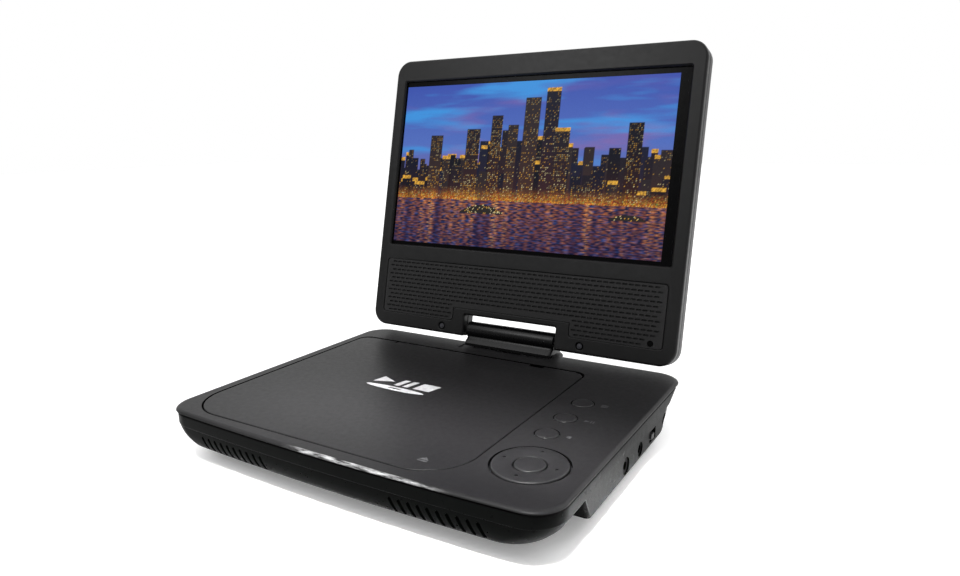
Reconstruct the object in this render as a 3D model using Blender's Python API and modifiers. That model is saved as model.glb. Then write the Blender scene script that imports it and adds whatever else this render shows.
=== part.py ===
"""A portable disc player with a swivelling, tilting screen. Metres, +Z up.

X runs to the right as seen from the front, -Y is the front, and the player stands on z = 0.
The origin is under the middle of the whole player as it stands open.
"""
import math

import bmesh
import bpy

GAP = 0.0003  # air between two pieces that lie against each other

# ---------------------------------------------------------------- driving sizes
# The base. Its y values count from the front edge of the deck, at its two ends.
BASE_WIDTH = 0.194
BASE_DEPTH = 0.154
FRONT_BOW = 0.003
DECK_Z = 0.0240
PARTING_Z = 0.0224
WALL = 0.0020
LUG_HALF = 0.030
LUG_REAR = 0.1635

# The disc well and its lid.
LID_LEFT = -0.091
LID_RIGHT = 0.054
LID_FRONT = 0.0038
LID_REAR = 0.1340
LID_GAP = 0.0008
SPINDLE_X = -0.0185
SPINDLE_Y = 0.067
WELL_RADIUS = 0.0615
WELL_FLOOR_Z = 0.0174
LEDGE_Z = 0.0213
LID_AXIS_Y = 0.1322
LID_AXIS_Z = 0.0226
LID_ROLL_RADIUS = 0.00135
LID_KNUCKLES_X = (-0.062, 0.026)

# The screen. Its own plane has u to the right, v up from the hinge axis and w out of the face.
SCREEN_WIDTH = 0.1885
SCREEN_BOTTOM = -0.0039
SCREEN_TOP = 0.1581
SCREEN_FACE = 0.0064
SCREEN_BACK = -0.0060
SCREEN_SPLIT = 0.0017
SCREEN_LEAN = math.radians(12.8)
NOTCH_HALF = 0.0288
NOTCH_TOP = 0.0084
WINDOW_HALF = 0.0870
WINDOW_BOTTOM = 0.0460
WINDOW_TOP = 0.1455
HINGE_Y = 0.15245
HINGE_Z = 0.03186
BARREL_RADIUS = 0.0048
BARREL_HALF = 0.0275
PIN_RADIUS = 0.0015

# The keys, on the deck to the right of the lid.
RING_X = 0.0736
RING_Y = 0.0298
RING_RADIUS = 0.0147
RING_BORE = 0.0066
RING_HOLE = 0.0156
KEY_X = 0.0672
KEYS_Y = (0.0577, 0.0761, 0.0952)
KEY_RADIUS = 0.0049
KEY_HOLE = 0.0054
KEY_TOP_Z = DECK_Z + 0.0004

# The sockets in the right side.
SOCKET_Z = 0.0114
SIDE_X = BASE_WIDTH / 2
PHONES_Y = 0.0703
AV_Y = 0.0880
SWITCH_Y = 0.1051
DC_Y = 0.1235

# The disc drive.
ROD_OFFSET_Y = 0.0155
ROD_Z = 0.0098
ROD_RADIUS = 0.0012
FEED_Y = 0.0415
FEED_RADIUS = 0.0014
LENS_REST = 0.0240
SLED_LEFT = -0.0040
SLED_RIGHT = 0.0200
DECK_PLATE_Z = 0.0120

# Screws and feet.
CASE_SCREWS = {
    "front_left": (-0.062, 0.021),
    "front_right": (0.050, 0.021),
    "rear_left": (-0.070, 0.139),
    "rear_right": (0.070, 0.139),
}
FEET = {
    "front_left": (-0.070, 0.037),
    "front_right": (0.070, 0.037),
    "rear_left": (-0.070, 0.124),
    "rear_right": (0.070, 0.124),
}
FOOT_RADIUS = 0.0050

# The whole player's depth, from the bowed front to the top rear edge of the open screen.
SCREEN_REAR_ROUND = 0.0030
SCREEN_REAR_Y = (
    HINGE_Y
    + (SCREEN_TOP - SCREEN_REAR_ROUND) * math.sin(SCREEN_LEAN)
    + (-SCREEN_BACK - SCREEN_REAR_ROUND) * math.cos(SCREEN_LEAN)
    + SCREEN_REAR_ROUND
)
FRONT_Y = -(SCREEN_REAR_Y - FRONT_BOW) / 2


# ---------------------------------------------------------------- scene and materials
def clear_scene():
    for obj in list(bpy.data.objects):
        bpy.data.objects.remove(obj, do_unlink=True)


def new_collection(name):
    collection = bpy.data.collections.new(name)
    bpy.context.scene.collection.children.link(collection)
    return collection


clear_scene()
PARTS = new_collection("disc_player")
CUTTERS = new_collection("cutters")


def new_material(name, colour, roughness, metallic=0.0):
    material = bpy.data.materials.new(name)
    material.use_nodes = True
    shader = material.node_tree.nodes["Principled BSDF"]
    shader.inputs["Base Color"].default_value = (*colour, 1.0)
    shader.inputs["Roughness"].default_value = roughness
    shader.inputs["Metallic"].default_value = metallic
    return material


CASE_BLACK = new_material("case_black", (0.028, 0.028, 0.030), 0.48)
DECK_BLACK = new_material("deck_black", (0.040, 0.040, 0.043), 0.42)
BEZEL_BLACK = new_material("bezel_black", (0.034, 0.034, 0.036), 0.45)
KEY_BLACK = new_material("key_black", (0.045, 0.045, 0.048), 0.40)
WELL_METAL = new_material("drive_steel", (0.55, 0.56, 0.58), 0.35, 1.0)
BRIGHT_STEEL = new_material("bright_steel", (0.70, 0.70, 0.72), 0.22, 1.0)
RUBBER = new_material("rubber", (0.020, 0.020, 0.020), 0.85)
SILICONE = new_material("silicone", (0.62, 0.64, 0.66), 0.60)
BOARD_GREEN = new_material("board_green", (0.030, 0.160, 0.060), 0.50)
SOCKET_BLACK = new_material("socket_black", (0.015, 0.015, 0.016), 0.40)
PACK_BLUE = new_material("pack_blue", (0.050, 0.110, 0.260), 0.40)
LENS_CLEAR = new_material("lens_clear", (0.30, 0.36, 0.52), 0.05)
PANEL_GLASS = new_material("panel_glass", (0.012, 0.014, 0.022), 0.12)
DRIVE_PLASTIC = new_material("drive_plastic", (0.10, 0.10, 0.11), 0.50)


# ---------------------------------------------------------------- placing
def new_empty(name, location, parent=None, rotation=(0.0, 0.0, 0.0)):
    empty = bpy.data.objects.new(name, None)
    empty.location = location
    empty.rotation_euler = rotation
    empty.parent = parent
    CUTTERS.objects.link(empty)
    return empty


BASE = new_empty("base_frame", (0, FRONT_Y, 0))
SWIVEL_AXIS = new_empty("swivel_axis", (0, HINGE_Y, HINGE_Z), BASE)
SCREEN_AXIS = new_empty("screen_axis", (0, 0, 0), SWIVEL_AXIS, (-SCREEN_LEAN, 0, 0))
SCREEN = new_empty("screen_plane", (0, 0, 0), SCREEN_AXIS, (math.pi / 2, 0, 0))
LID_AXIS = new_empty("disc_lid_axis", (0, LID_AXIS_Y, LID_AXIS_Z), BASE)
SPINDLE = new_empty("spindle_axis", (SPINDLE_X, SPINDLE_Y, 0), BASE)


def finish(name, mesh, material, parent, location, rotation=(0.0, 0.0, 0.0)):
    """Makes the object. With no material it is a cutter."""
    mesh.name = name
    mesh.shade_smooth()
    mesh.set_sharp_from_angle(angle=math.radians(30))
    obj = bpy.data.objects.new(name, mesh)
    obj.location = location
    obj.rotation_euler = rotation
    obj.parent = parent
    if material is None:
        CUTTERS.objects.link(obj)
        obj.hide_render = True
        obj.display_type = "WIRE"
    else:
        mesh.materials.append(material)
        PARTS.objects.link(obj)
    return obj


def from_bmesh(bm):
    mesh = bpy.data.meshes.new("mesh")
    bm.to_mesh(mesh)
    bm.free()
    return mesh


def cut(target, *cutters):
    for cutter in cutters:
        modifier = target.modifiers.new("cut_" + cutter.name, "BOOLEAN")
        modifier.operation = "DIFFERENCE"
        modifier.object = cutter


def join(target, *extras):
    for extra in extras:
        modifier = target.modifiers.new("join_" + extra.name, "BOOLEAN")
        modifier.operation = "UNION"
        modifier.object = extra


def bevel(target, width, segments=2, angle=40):
    modifier = target.modifiers.new("round_edges", "BEVEL")
    modifier.width = width
    modifier.segments = segments
    modifier.limit_method = "ANGLE"
    modifier.angle_limit = math.radians(angle)


# ---------------------------------------------------------------- shapes
def box(name, low, high, material=None, parent=BASE):
    bm = bmesh.new()
    bmesh.ops.create_cube(bm, size=1.0)
    size = [h - l for l, h in zip(low, high)]
    centre = [(h + l) / 2 for l, h in zip(low, high)]
    bmesh.ops.scale(bm, vec=size, verts=bm.verts)
    return finish(name, from_bmesh(bm), material, parent, centre)


ALONG = {
    "X": (0.0, math.pi / 2, 0.0),
    "Y": (math.pi / 2, 0.0, 0.0),
    "Z": (0.0, 0.0, 0.0),
}


def cylinder(name, radius, length, centre, axis="Z", material=None, parent=BASE, sides=32):
    bm = bmesh.new()
    bmesh.ops.create_cone(
        bm, cap_ends=True, segments=sides, radius1=radius, radius2=radius, depth=length
    )
    return finish(name, from_bmesh(bm), material, parent, centre, ALONG[axis])


def upright(name, radius, x, y, low, high, material=None, parent=BASE, sides=32):
    """A cylinder along Z between two heights."""
    middle = (x, y, (low + high) / 2)
    return cylinder(name, radius, high - low, middle, "Z", material, parent, sides)


def turned(name, profile, centre, material=None, parent=BASE, sides=32):
    """A solid turned about Z. The profile is (radius, z) points down its outer side."""
    bm = bmesh.new()
    closed = profile[0] == profile[-1]
    verts = [bm.verts.new((radius, 0, z)) for radius, z in (profile[:-1] if closed else profile)]
    if closed:
        verts.append(verts[0])
    for a, b in zip(verts, verts[1:]):
        bm.edges.new((a, b))
    obj = finish(name, from_bmesh(bm), material, parent, centre)
    screw = obj.modifiers.new("turn", "SCREW")
    screw.steps = sides
    screw.render_steps = sides
    screw.use_merge_vertices = True
    screw.merge_threshold = 0.00001
    return obj


def tube(name, inner, outer, x, y, low, high, material, parent=BASE, sides=32):
    """A ring or a pipe along Z, turned from its closed section."""
    profile = [(inner, low), (inner, high), (outer, high), (outer, low), (inner, low)]
    return turned(name, profile, (x, y, 0), material, parent, sides)


def slab(name, outline, low, high, material=None, parent=BASE):
    """A flat outline given thickness, from a filled curve."""
    curve = bpy.data.curves.new(name, "CURVE")
    curve.dimensions = "2D"
    curve.fill_mode = "BOTH"
    curve.extrude = (high - low) / 2
    curve.render_resolution_u = 0
    spline = curve.splines.new("POLY")
    spline.points.add(len(outline) - 1)
    for point, (x, y) in zip(spline.points, outline):
        point.co = (x, y, 0, 1)
    spline.use_cyclic_u = True
    source = bpy.data.objects.new(name + "_curve", curve)
    CUTTERS.objects.link(source)
    evaluated = source.evaluated_get(bpy.context.evaluated_depsgraph_get())
    mesh = bpy.data.meshes.new_from_object(evaluated)
    bpy.data.objects.remove(source, do_unlink=True)
    bm = bmesh.new()
    bm.from_mesh(mesh)
    bmesh.ops.remove_doubles(bm, verts=bm.verts, dist=0.00001)
    bmesh.ops.recalc_face_normals(bm, faces=bm.faces)
    bm.to_mesh(mesh)
    bm.free()
    mesh.materials.clear()
    return finish(name, mesh, material, parent, (0, 0, (low + high) / 2))


def loft(name, rings, material=None, parent=BASE):
    """Joins outlines of equal point counts, given as (z, outline) from the bottom up."""
    bm = bmesh.new()
    rows = [[bm.verts.new((x, y, z)) for x, y in outline] for z, outline in rings]
    for below, above in zip(rows, rows[1:]):
        count = len(below)
        for i in range(count):
            j = (i + 1) % count
            bm.faces.new((below[i], below[j], above[j], above[i]))
    bm.faces.new(list(reversed(rows[0])))
    bm.faces.new(rows[-1])
    return finish(name, from_bmesh(bm), material, parent, (0, 0, 0))


def arc(centre_x, centre_y, radius, start, end, steps=6):
    """Points round an arc, in degrees."""
    points = []
    for i in range(steps + 1):
        angle = math.radians(start + (end - start) * i / steps)
        points.append((centre_x + radius * math.cos(angle), centre_y + radius * math.sin(angle)))
    return points


def rounded(x0, x1, y0, y1, radii, bow=0.0, lug=None, steps=6):
    """A rectangle with round corners, anticlockwise from the front left.

    radii is (front left, front right, rear right, rear left). bow pushes the front edge out.
    lug is (half width, rear y, radius) of a bulge in the middle of the rear edge.
    """
    a, b, c, d = radii
    points = arc(x0 + a, y0 + a, a, 180, 270, steps)
    front_left, front_right = x0 + a, x1 - b
    spans = 8 if bow else 1
    for i in range(1, spans):
        points.append((front_left + (front_right - front_left) * i / spans, y0))
    points += arc(x1 - b, y0 + b, b, 270, 360, steps)
    points += arc(x1 - c, y1 - c, c, 0, 90, steps)
    if lug:
        half, rear, r = lug
        points.append((half, y1))
        points += arc(half - r, rear - r, r, 0, 90, 4)
        points += arc(r - half, rear - r, r, 90, 180, 4)
        points.append((-half, y1))
    points += arc(x0 + d, y1 - d, d, 90, 180, steps)
    if bow:
        points = [(x, y - bowed(x, y, bow)) for x, y in points]
    return points


def bowed(x, y, bow):
    """How far the front edge stands out at x. It fades away to nothing by the rear."""
    across = 1 - (x / (BASE_WIDTH / 2)) ** 2
    back = max(0.0, 1 - max(y, 0) / 0.05)
    return bow * across * back


def base_outline(inset, front_radius, rear_radius, lug=False):
    """The player's outline from above, drawn in by inset."""
    half = BASE_WIDTH / 2 - inset
    shape = (LUG_HALF - inset, LUG_REAR - inset, 0.009) if lug else None
    radii = (front_radius, front_radius, rear_radius, rear_radius)
    return rounded(-half, half, inset, BASE_DEPTH - inset, radii, FRONT_BOW, shape)


def disc_lid_outline(inset, rear_y=LID_REAR):
    """The lid's outline: wide round corners at the front, tight ones at the hinge."""
    front, rear = 0.022 - inset, 0.0065 - inset
    radii = (front, front, rear, rear)
    x0, x1 = LID_LEFT + inset, LID_RIGHT - inset
    return rounded(x0, x1, LID_FRONT + inset, rear_y - inset, radii)


# ---------------------------------------------------------------- base, lower half
def band_rings(inset, low):
    """The upright edge of the case. Its rear corners tuck in towards the bottom."""
    top = PARTING_Z - GAP / 2
    if inset:
        levels = [(low, inset, 0.012, 0.025), (0.0300, inset, 0.012, 0.014)]
    else:
        levels = [
            (low, 0.0009, 0.013, 0.026),
            (low + 0.0010, 0.0003, 0.013, 0.025),
            (top - 0.0007, 0.0003, 0.013, 0.015),
            (top, 0.0010, 0.013, 0.015),
        ]
    return [(z, base_outline(i, front, rear, lug=True)) for z, i, front, rear in levels]


HULL_LEVELS = (
    # height, side inset, front inset, rear inset, front corner radius
    (0.0015, 0.0150, 0.0140, 0.0080, 0.020),
    (0.0030, 0.0120, 0.0105, 0.0060, 0.018),
    (0.0056, 0.0090, 0.0065, 0.0040, 0.016),
    (0.0076, 0.0078, 0.0036, 0.0034, 0.015),
    (0.0095, 0.0065, 0.0018, 0.0030, 0.014),
    (0.0130, 0.0030, 0.0008, 0.0030, 0.013),
    (0.0170, 0.0006, 0.0006, 0.0030, 0.0125),
    (0.0190, 0.0006, 0.0006, 0.0030, 0.0125),
)


def hull_rings(wall):
    """The belly under the edge band: its front corners are cut well back towards the bottom."""
    rings = []
    for z, side, front, rear, radius in HULL_LEVELS:
        half = BASE_WIDTH / 2 - side - wall
        y0, y1 = front + wall, BASE_DEPTH - rear - wall
        radii = (radius - wall, radius - wall, 0.024, 0.024)
        rings.append((z + wall, rounded(-half, half, y0, y1, radii, FRONT_BOW)))
    if wall:
        rings.append((0.0310, rings[-1][1]))
    return rings


SIDE_LEVELS = (
    # height, side inset, front face y, rear inset, rear corner radius
    (0.0015, 0.0100, 0.0480, 0.0070, 0.034),
    (0.0035, 0.0070, 0.0430, 0.0045, 0.035),
    (0.0058, 0.0030, 0.0375, 0.0028, 0.036),
    (0.0068, 0.0010, 0.0330, 0.0024, 0.036),
    (0.0075, 0.0004, 0.0312, 0.0022, 0.036),
    (0.0186, 0.0004, 0.0253, 0.0012, 0.027),
)


def side_rings(wall):
    """The deep rear part, as wide as the deck, with a slanting front face."""
    rings = []
    for z, side, front, rear, radius in SIDE_LEVELS:
        half = BASE_WIDTH / 2 - side - wall
        y0, y1 = front + wall, BASE_DEPTH - rear - wall
        radii = (0.002, 0.002, radius - wall, radius - wall)
        rings.append((z + wall, rounded(-half, half, y0, y1, radii)))
    if wall:
        rings.append((0.0320, rings[-1][1]))
    return rings


def tower_outline(inset):
    half = LUG_HALF - inset
    return rounded(-half, half, 0.118 + inset, LUG_REAR - inset, (0.009 - inset,) * 4, steps=4)


def vent_slots(side):
    """Slanting slots in the lower front face, on one side of the middle."""
    slots = []
    for i in range(10):
        x = side * (0.0335 + 0.0041 * i)
        y = LID_FRONT - 0.0040
        slot = box(
            f"vent_slot_{'right' if side > 0 else 'left'}_{i}",
            (x - 0.0008, y - 0.006, 0.0088),
            (x + 0.0008, y + 0.012, 0.0152),
        )
        slot.rotation_euler = (0, math.radians(-24), 0)
        slots.append(slot)
    return slots


def side_holes():
    """Openings in the right side for the sockets and the power switch."""
    reach = 0.012
    holes = []
    for name, y, radius in (("phones", PHONES_Y, 0.0038), ("av", AV_Y, 0.0032), ("dc", DC_Y, 0.0037)):
        holes.append(cylinder("hole_" + name, radius, reach, (SIDE_X, y, SOCKET_Z), "X", sides=24))
    window = box(
        "hole_switch",
        (SIDE_X - reach / 2, SWITCH_Y - 0.0043, SOCKET_Z - 0.0026),
        (SIDE_X + reach / 2, SWITCH_Y + 0.0043, SOCKET_Z + 0.0026),
    )
    return holes + [window]


def make_lower_case():
    case = loft("base_lower_case", band_rings(0.0, 0.0164), CASE_BLACK)
    join(case, loft("belly", hull_rings(0.0)), loft("deep_rear", side_rings(0.0)))
    join(case, slab("hinge_tower", tower_outline(0.0002), 0.0030, 0.0196))
    cut(case, loft("band_inside", band_rings(0.0023, 0.0176)))
    cut(case, loft("belly_inside", hull_rings(WALL)), loft("rear_inside", side_rings(WALL)))
    cut(case, slab("tower_inside", tower_outline(0.0022), 0.0050, 0.0330))
    for name, (x, y) in CASE_SCREWS.items():
        join(case, upright("lower_boss_" + name, 0.0046, x, y, 0.0020, 0.0062, sides=20))
        cut(case, upright("screw_seat_" + name, 0.0031, x, y, 0.0005, 0.0040, sides=20))
        cut(case, upright("screw_way_" + name, 0.0017, x, y, 0.0030, 0.0080, sides=16))
    for name, (x, y) in FEET.items():
        cut(case, upright("foot_seat_" + name, FOOT_RADIUS + GAP, x, y, 0.0005, 0.0025, sides=24))
    cut(case, *vent_slots(1), *vent_slots(-1))
    cut(case, *side_holes())
    return case


# ---------------------------------------------------------------- base, upper half
def deck_rings():
    """The deck plate: a rounded edge that rises to the flat top."""
    rings = [(PARTING_Z + GAP / 2, base_outline(0.0, 0.012, 0.012, lug=True))]
    inset, rise, steps = 0.0018, 0.0013, 4
    for i in range(steps + 1):
        angle = math.pi / 2 * i / steps
        z = DECK_Z - rise + rise * math.sin(angle)
        drawn_in = inset * (1 - math.cos(angle))
        rings.append((z, base_outline(drawn_in, 0.012, 0.012, lug=True)))
    return rings


def make_upper_case():
    case = loft("base_upper_case", deck_rings(), DECK_BLACK)
    join(case, slab("lid_tray", disc_lid_outline(-0.0016), 0.0196, 0.0230))
    join(case, upright("well_cup", WELL_RADIUS + 0.0018, SPINDLE_X, SPINDLE_Y, 0.0156, 0.0205, sides=72))
    for name, (x, y) in CASE_SCREWS.items():
        top = 0.0200 if "front" in name else 0.0230
        join(case, upright("upper_boss_" + name, 0.0033, x, y, 0.0065, top, sides=20))
        cut(case, upright("screw_pilot_" + name, 0.0016, x, y, 0.0050, 0.0140, sides=16))
    cut(case, slab("lid_recess", disc_lid_outline(0.0), LEDGE_Z, 0.0260))
    cut(case, upright("disc_well", WELL_RADIUS, SPINDLE_X, SPINDLE_Y, WELL_FLOOR_Z, 0.0255, sides=72))
    for angle in (197, 343):
        x = SPINDLE_X + WELL_RADIUS * math.cos(math.radians(angle))
        y = SPINDLE_Y + WELL_RADIUS * math.sin(math.radians(angle))
        cut(case, upright(f"finger_dip_{angle}", 0.0085, x, y, 0.0204, 0.0250, sides=32))
    cut(case, upright("spindle_opening", 0.0175, SPINDLE_X, SPINDLE_Y, 0.0140, 0.0190, sides=40))
    opening = rounded(SPINDLE_X, 0.0424, SPINDLE_Y - 0.011, SPINDLE_Y + 0.011, (0.002,) * 4, steps=3)
    cut(case, slab("pickup_opening", opening, 0.0135, 0.0188))
    cut(case, upright("ring_hole", RING_HOLE, RING_X, RING_Y, 0.0200, 0.0260, sides=48))
    for i, y in enumerate(KEYS_Y):
        cut(case, upright(f"key_hole_{i}", KEY_HOLE, KEY_X, y, 0.0200, 0.0260, sides=32))
    cut(case, box("latch_slot", (0.0330, 0.0062, 0.0150), (0.0410, 0.0106, 0.0240)))
    cut(case, upright("swivel_hole", 0.0066, 0, HINGE_Y, 0.0200, 0.0260, sides=32))
    hinge_panel = rounded(-0.029, 0.029, 0.1400, 0.1800, (0.002,) * 4, steps=3)
    cut(case, slab("hinge_dip", hinge_panel, DECK_Z - 0.0004, 0.0262))
    middle = ((LID_LEFT + LID_RIGHT) / 2, LID_AXIS_Y, LID_AXIS_Z)
    length = LID_RIGHT - LID_LEFT - 0.009
    cut(case, cylinder("roll_trough", LID_ROLL_RADIUS + 0.0004, length, middle, "X", sides=32))
    for i, x in enumerate(LID_KNUCKLES_X):
        low, high = (x - 0.0035, LID_AXIS_Y, 0.0208), (x + 0.0035, LID_REAR + 0.0015, 0.0235)
        middle = (x, LID_AXIS_Y, LID_AXIS_Z)
        join(case, box(f"knuckle_root_{i}", low, high))
        join(case, cylinder(f"knuckle_end_{i}", 0.0012, 0.0072, middle, "X", sides=16))
        cut(case, cylinder(f"knuckle_bore_{i}", 0.0008, 0.0120, middle, "X", sides=16))
    return case


# ---------------------------------------------------------------- disc lid
def make_disc_lid():
    """A flush plate with a thin skirt, knuckle notches at the rear and a hook at the front."""
    low, high = LEDGE_Z + GAP, DECK_Z
    lid = slab("disc_lid", disc_lid_outline(LID_GAP, LID_AXIS_Y + LID_GAP), low, high, DECK_BLACK)
    bevel(lid, 0.0005, 2, 60)
    cut(lid, slab("lid_underside", disc_lid_outline(0.0040), low - 0.0010, high - 0.0015))
    middle = ((LID_LEFT + LID_RIGHT) / 2, LID_AXIS_Y, LID_AXIS_Z)
    length = LID_RIGHT - LID_LEFT - 0.0124
    join(lid, cylinder("lid_roll", LID_ROLL_RADIUS, length, middle, "X", sides=24))
    for i, x in enumerate(LID_KNUCKLES_X):
        notch = (x - 0.0040, LID_AXIS_Y - 0.0020, 0.0200), (x + 0.0040, LID_REAR + 0.0010, 0.0260)
        cut(lid, box(f"lid_notch_{i}", *notch))
        middle = (x, LID_AXIS_Y, LID_AXIS_Z)
        cut(lid, cylinder(f"lid_pin_bore_{i}", 0.0008, 0.0160, middle, "X", sides=16))
    join(lid, box("lid_hook", (0.0345, 0.0072, 0.0172), (0.0395, 0.0086, 0.0230)))
    join(lid, box("lid_hook_tip", (0.0345, 0.0082, 0.0172), (0.0395, 0.0096, 0.0182)))
    for i, x in enumerate(LID_KNUCKLES_X):
        side = ("left", "right")[i]
        middle = (x, 0, 0)
        cylinder(f"disc_lid_pin_{side}", 0.00055, 0.0150, middle, "X", BRIGHT_STEEL, LID_AXIS, 12)
    return lid


def make_latch():
    """A sliding catch that the lid's hook drops beside."""
    latch = box("disc_latch", (0.0310, 0.0106, 0.0150), (0.0430, 0.0134, 0.0176), DRIVE_PLASTIC)
    join(latch, box("latch_tail", (0.0350, 0.0128, 0.0110), (0.0390, 0.0180, 0.0172)))
    return latch


# ---------------------------------------------------------------- disc drive
def make_chassis():
    """A steel plate with bent lugs that hold the guide rods and the feed screw."""
    low, high = DECK_PLATE_Z, DECK_PLATE_Z + 0.0010
    outline = rounded(-0.0420, 0.0572, 0.0475, 0.0900, (0.003,) * 4, steps=2)
    chassis = slab("drive_chassis", outline, low, high, WELL_METAL)
    left, right = (-0.0082, -0.0052), (0.0539, 0.0569)
    for side, (x0, x1) in (("left", left), ("right", right)):
        join(chassis, box(f"feed_arm_{side}", (x0, 0.0385, low + 0.0001), (x1, 0.0490, high - 0.0001)))
        join(chassis, box(f"feed_lug_{side}", (x0, 0.0385, 0.0072), (x1, 0.0445, low + 0.0005)))
        for end, y in (("front", SPINDLE_Y - ROD_OFFSET_Y), ("rear", SPINDLE_Y + ROD_OFFSET_Y)):
            lug = (x0, y - 0.0028, 0.0072), (x1, y + 0.0028, low + 0.0005)
            join(chassis, box(f"rod_lug_{side}_{end}", *lug))
    for i in range(3):
        angle = math.radians(120 * i + 180)
        x = SPINDLE_X + 0.0146 * math.cos(angle)
        y = SPINDLE_Y + 0.0146 * math.sin(angle)
        join(chassis, upright(f"motor_post_{i}", 0.0013, x, y, 0.0083, low + 0.0005, sides=12))
    window = rounded(-0.0046, 0.0535, 0.0538, 0.0802, (0.001,) * 4, steps=2)
    cut(chassis, slab("sled_window", window, low - 0.0010, high + 0.0010))
    cut(chassis, upright("motor_window", 0.0128, SPINDLE_X, SPINDLE_Y, low - 0.001, high + 0.001, sides=32))
    for end, y in (("front", SPINDLE_Y - ROD_OFFSET_Y), ("rear", SPINDLE_Y + ROD_OFFSET_Y)):
        cut(chassis, cylinder(f"rod_way_{end}", ROD_RADIUS + GAP, 0.080, (0.0245, y, ROD_Z), "X", sides=16))
    cut(chassis, cylinder("feed_way", FEED_RADIUS + 0.0004, 0.080, (0.0245, FEED_Y, ROD_Z), "X", sides=16))
    return chassis


def make_drive():
    make_chassis()
    for end, y in (("front", SPINDLE_Y - ROD_OFFSET_Y), ("rear", SPINDLE_Y + ROD_OFFSET_Y)):
        middle = (0.02435, y, ROD_Z)
        cylinder(f"guide_rod_{end}", ROD_RADIUS, 0.0650, middle, "X", BRIGHT_STEEL, sides=12)
    motor = cylinder("feed_motor", 0.0048, 0.0150, (-0.0160, FEED_Y, ROD_Z), "X", WELL_METAL, sides=20)
    bevel(motor, 0.0006, 1, 60)
    make_feed_screw()
    make_sled()
    make_spindle()


def make_feed_screw():
    """A rod with a raised ridge on each turn of its thread."""
    points = [(0.0, 0.0)]
    pitch, turns = 0.0040, 16
    for i in range(turns):
        top = -i * pitch
        points += [(0.0010, top), (0.0010, top - 0.55 * pitch)]
        points += [(FEED_RADIUS, top - 0.65 * pitch), (FEED_RADIUS, top - 0.90 * pitch)]
    points.append((0.0, points[-1][1]))
    screw = turned("feed_screw", points, (0.0562, FEED_Y, ROD_Z), BRIGHT_STEEL, sides=12)
    screw.rotation_euler = ALONG["X"]
    return screw


def make_sled():
    """The carriage that carries the pickup along the two rods."""
    low, high = 0.0086, 0.0144
    front, rear = SPINDLE_Y - 0.0127, SPINDLE_Y + 0.0127
    sled = box("pickup_sled", (SLED_LEFT, front, low), (SLED_RIGHT, rear, high), DRIVE_PLASTIC)
    bevel(sled, 0.0008, 1, 60)
    join(sled, box("sled_front_arm", (0.0030, 0.0388, 0.0076), (0.0130, front + 0.001, 0.0117)))
    for i, x in enumerate((-0.0030, 0.0130)):
        foot = (x, rear - 0.001, 0.0076), (x + 0.0060, SPINDLE_Y + 0.0182, 0.0117)
        join(sled, box(f"sled_rear_arm_{i}", *foot))
    for end, y in (("front", SPINDLE_Y - ROD_OFFSET_Y), ("rear", SPINDLE_Y + ROD_OFFSET_Y)):
        middle = (0.0080, y, ROD_Z)
        cut(sled, cylinder(f"sled_bore_{end}", ROD_RADIUS + GAP, 0.040, middle, "X", sides=16))
    cut(sled, cylinder("sled_nut", FEED_RADIUS + 0.0004, 0.040, (0.0080, FEED_Y, ROD_Z), "X", sides=16))
    lens = [(0.0, 0.0169), (0.0016, 0.0168), (0.0021, 0.0165), (0.0033, 0.0165), (0.0034, 0.0147)]
    lens.append((0.0, 0.0147))
    turned("pickup_lens", lens, (SPINDLE_X + LENS_REST, SPINDLE_Y, 0), LENS_CLEAR, sides=24)
    return sled


def make_spindle():
    stator = upright("spindle_motor", 0.0160, 0, 0, 0.0060, 0.0080, WELL_METAL, SPINDLE, 32)
    join(stator, upright("stator_core", 0.0080, 0, 0, 0.0075, 0.0120, None, SPINDLE, 24))
    cut(stator, upright("stator_bore", 0.0014, 0, 0, 0.0050, 0.0130, None, SPINDLE, 16))
    bell = [(0.0105, 0.0152), (0.0120, 0.0140), (0.0120, 0.0084), (0.0111, 0.0084), (0.0111, 0.0136)]
    bell += [(0.0100, 0.0144), (0.0014, 0.0144), (0.0014, 0.0152), (0.0105, 0.0152)]
    turned("spindle_rotor", bell, (0, 0, 0), WELL_METAL, SPINDLE, 32)
    hub = [(0.0, 0.0212), (0.0040, 0.0211), (0.0068, 0.0205), (0.0073, 0.0198), (0.0073, 0.0190)]
    hub += [(0.0124, 0.0190), (0.0128, 0.0187), (0.0128, 0.0178), (0.0124, 0.0175), (0.0040, 0.0175)]
    hub += [(0.0036, 0.0155), (0.0010, 0.0155), (0.0010, 0.0062), (0.0, 0.0062)]
    turned("spindle_hub", hub, (0, 0, 0), DRIVE_PLASTIC, SPINDLE, 32)


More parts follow.
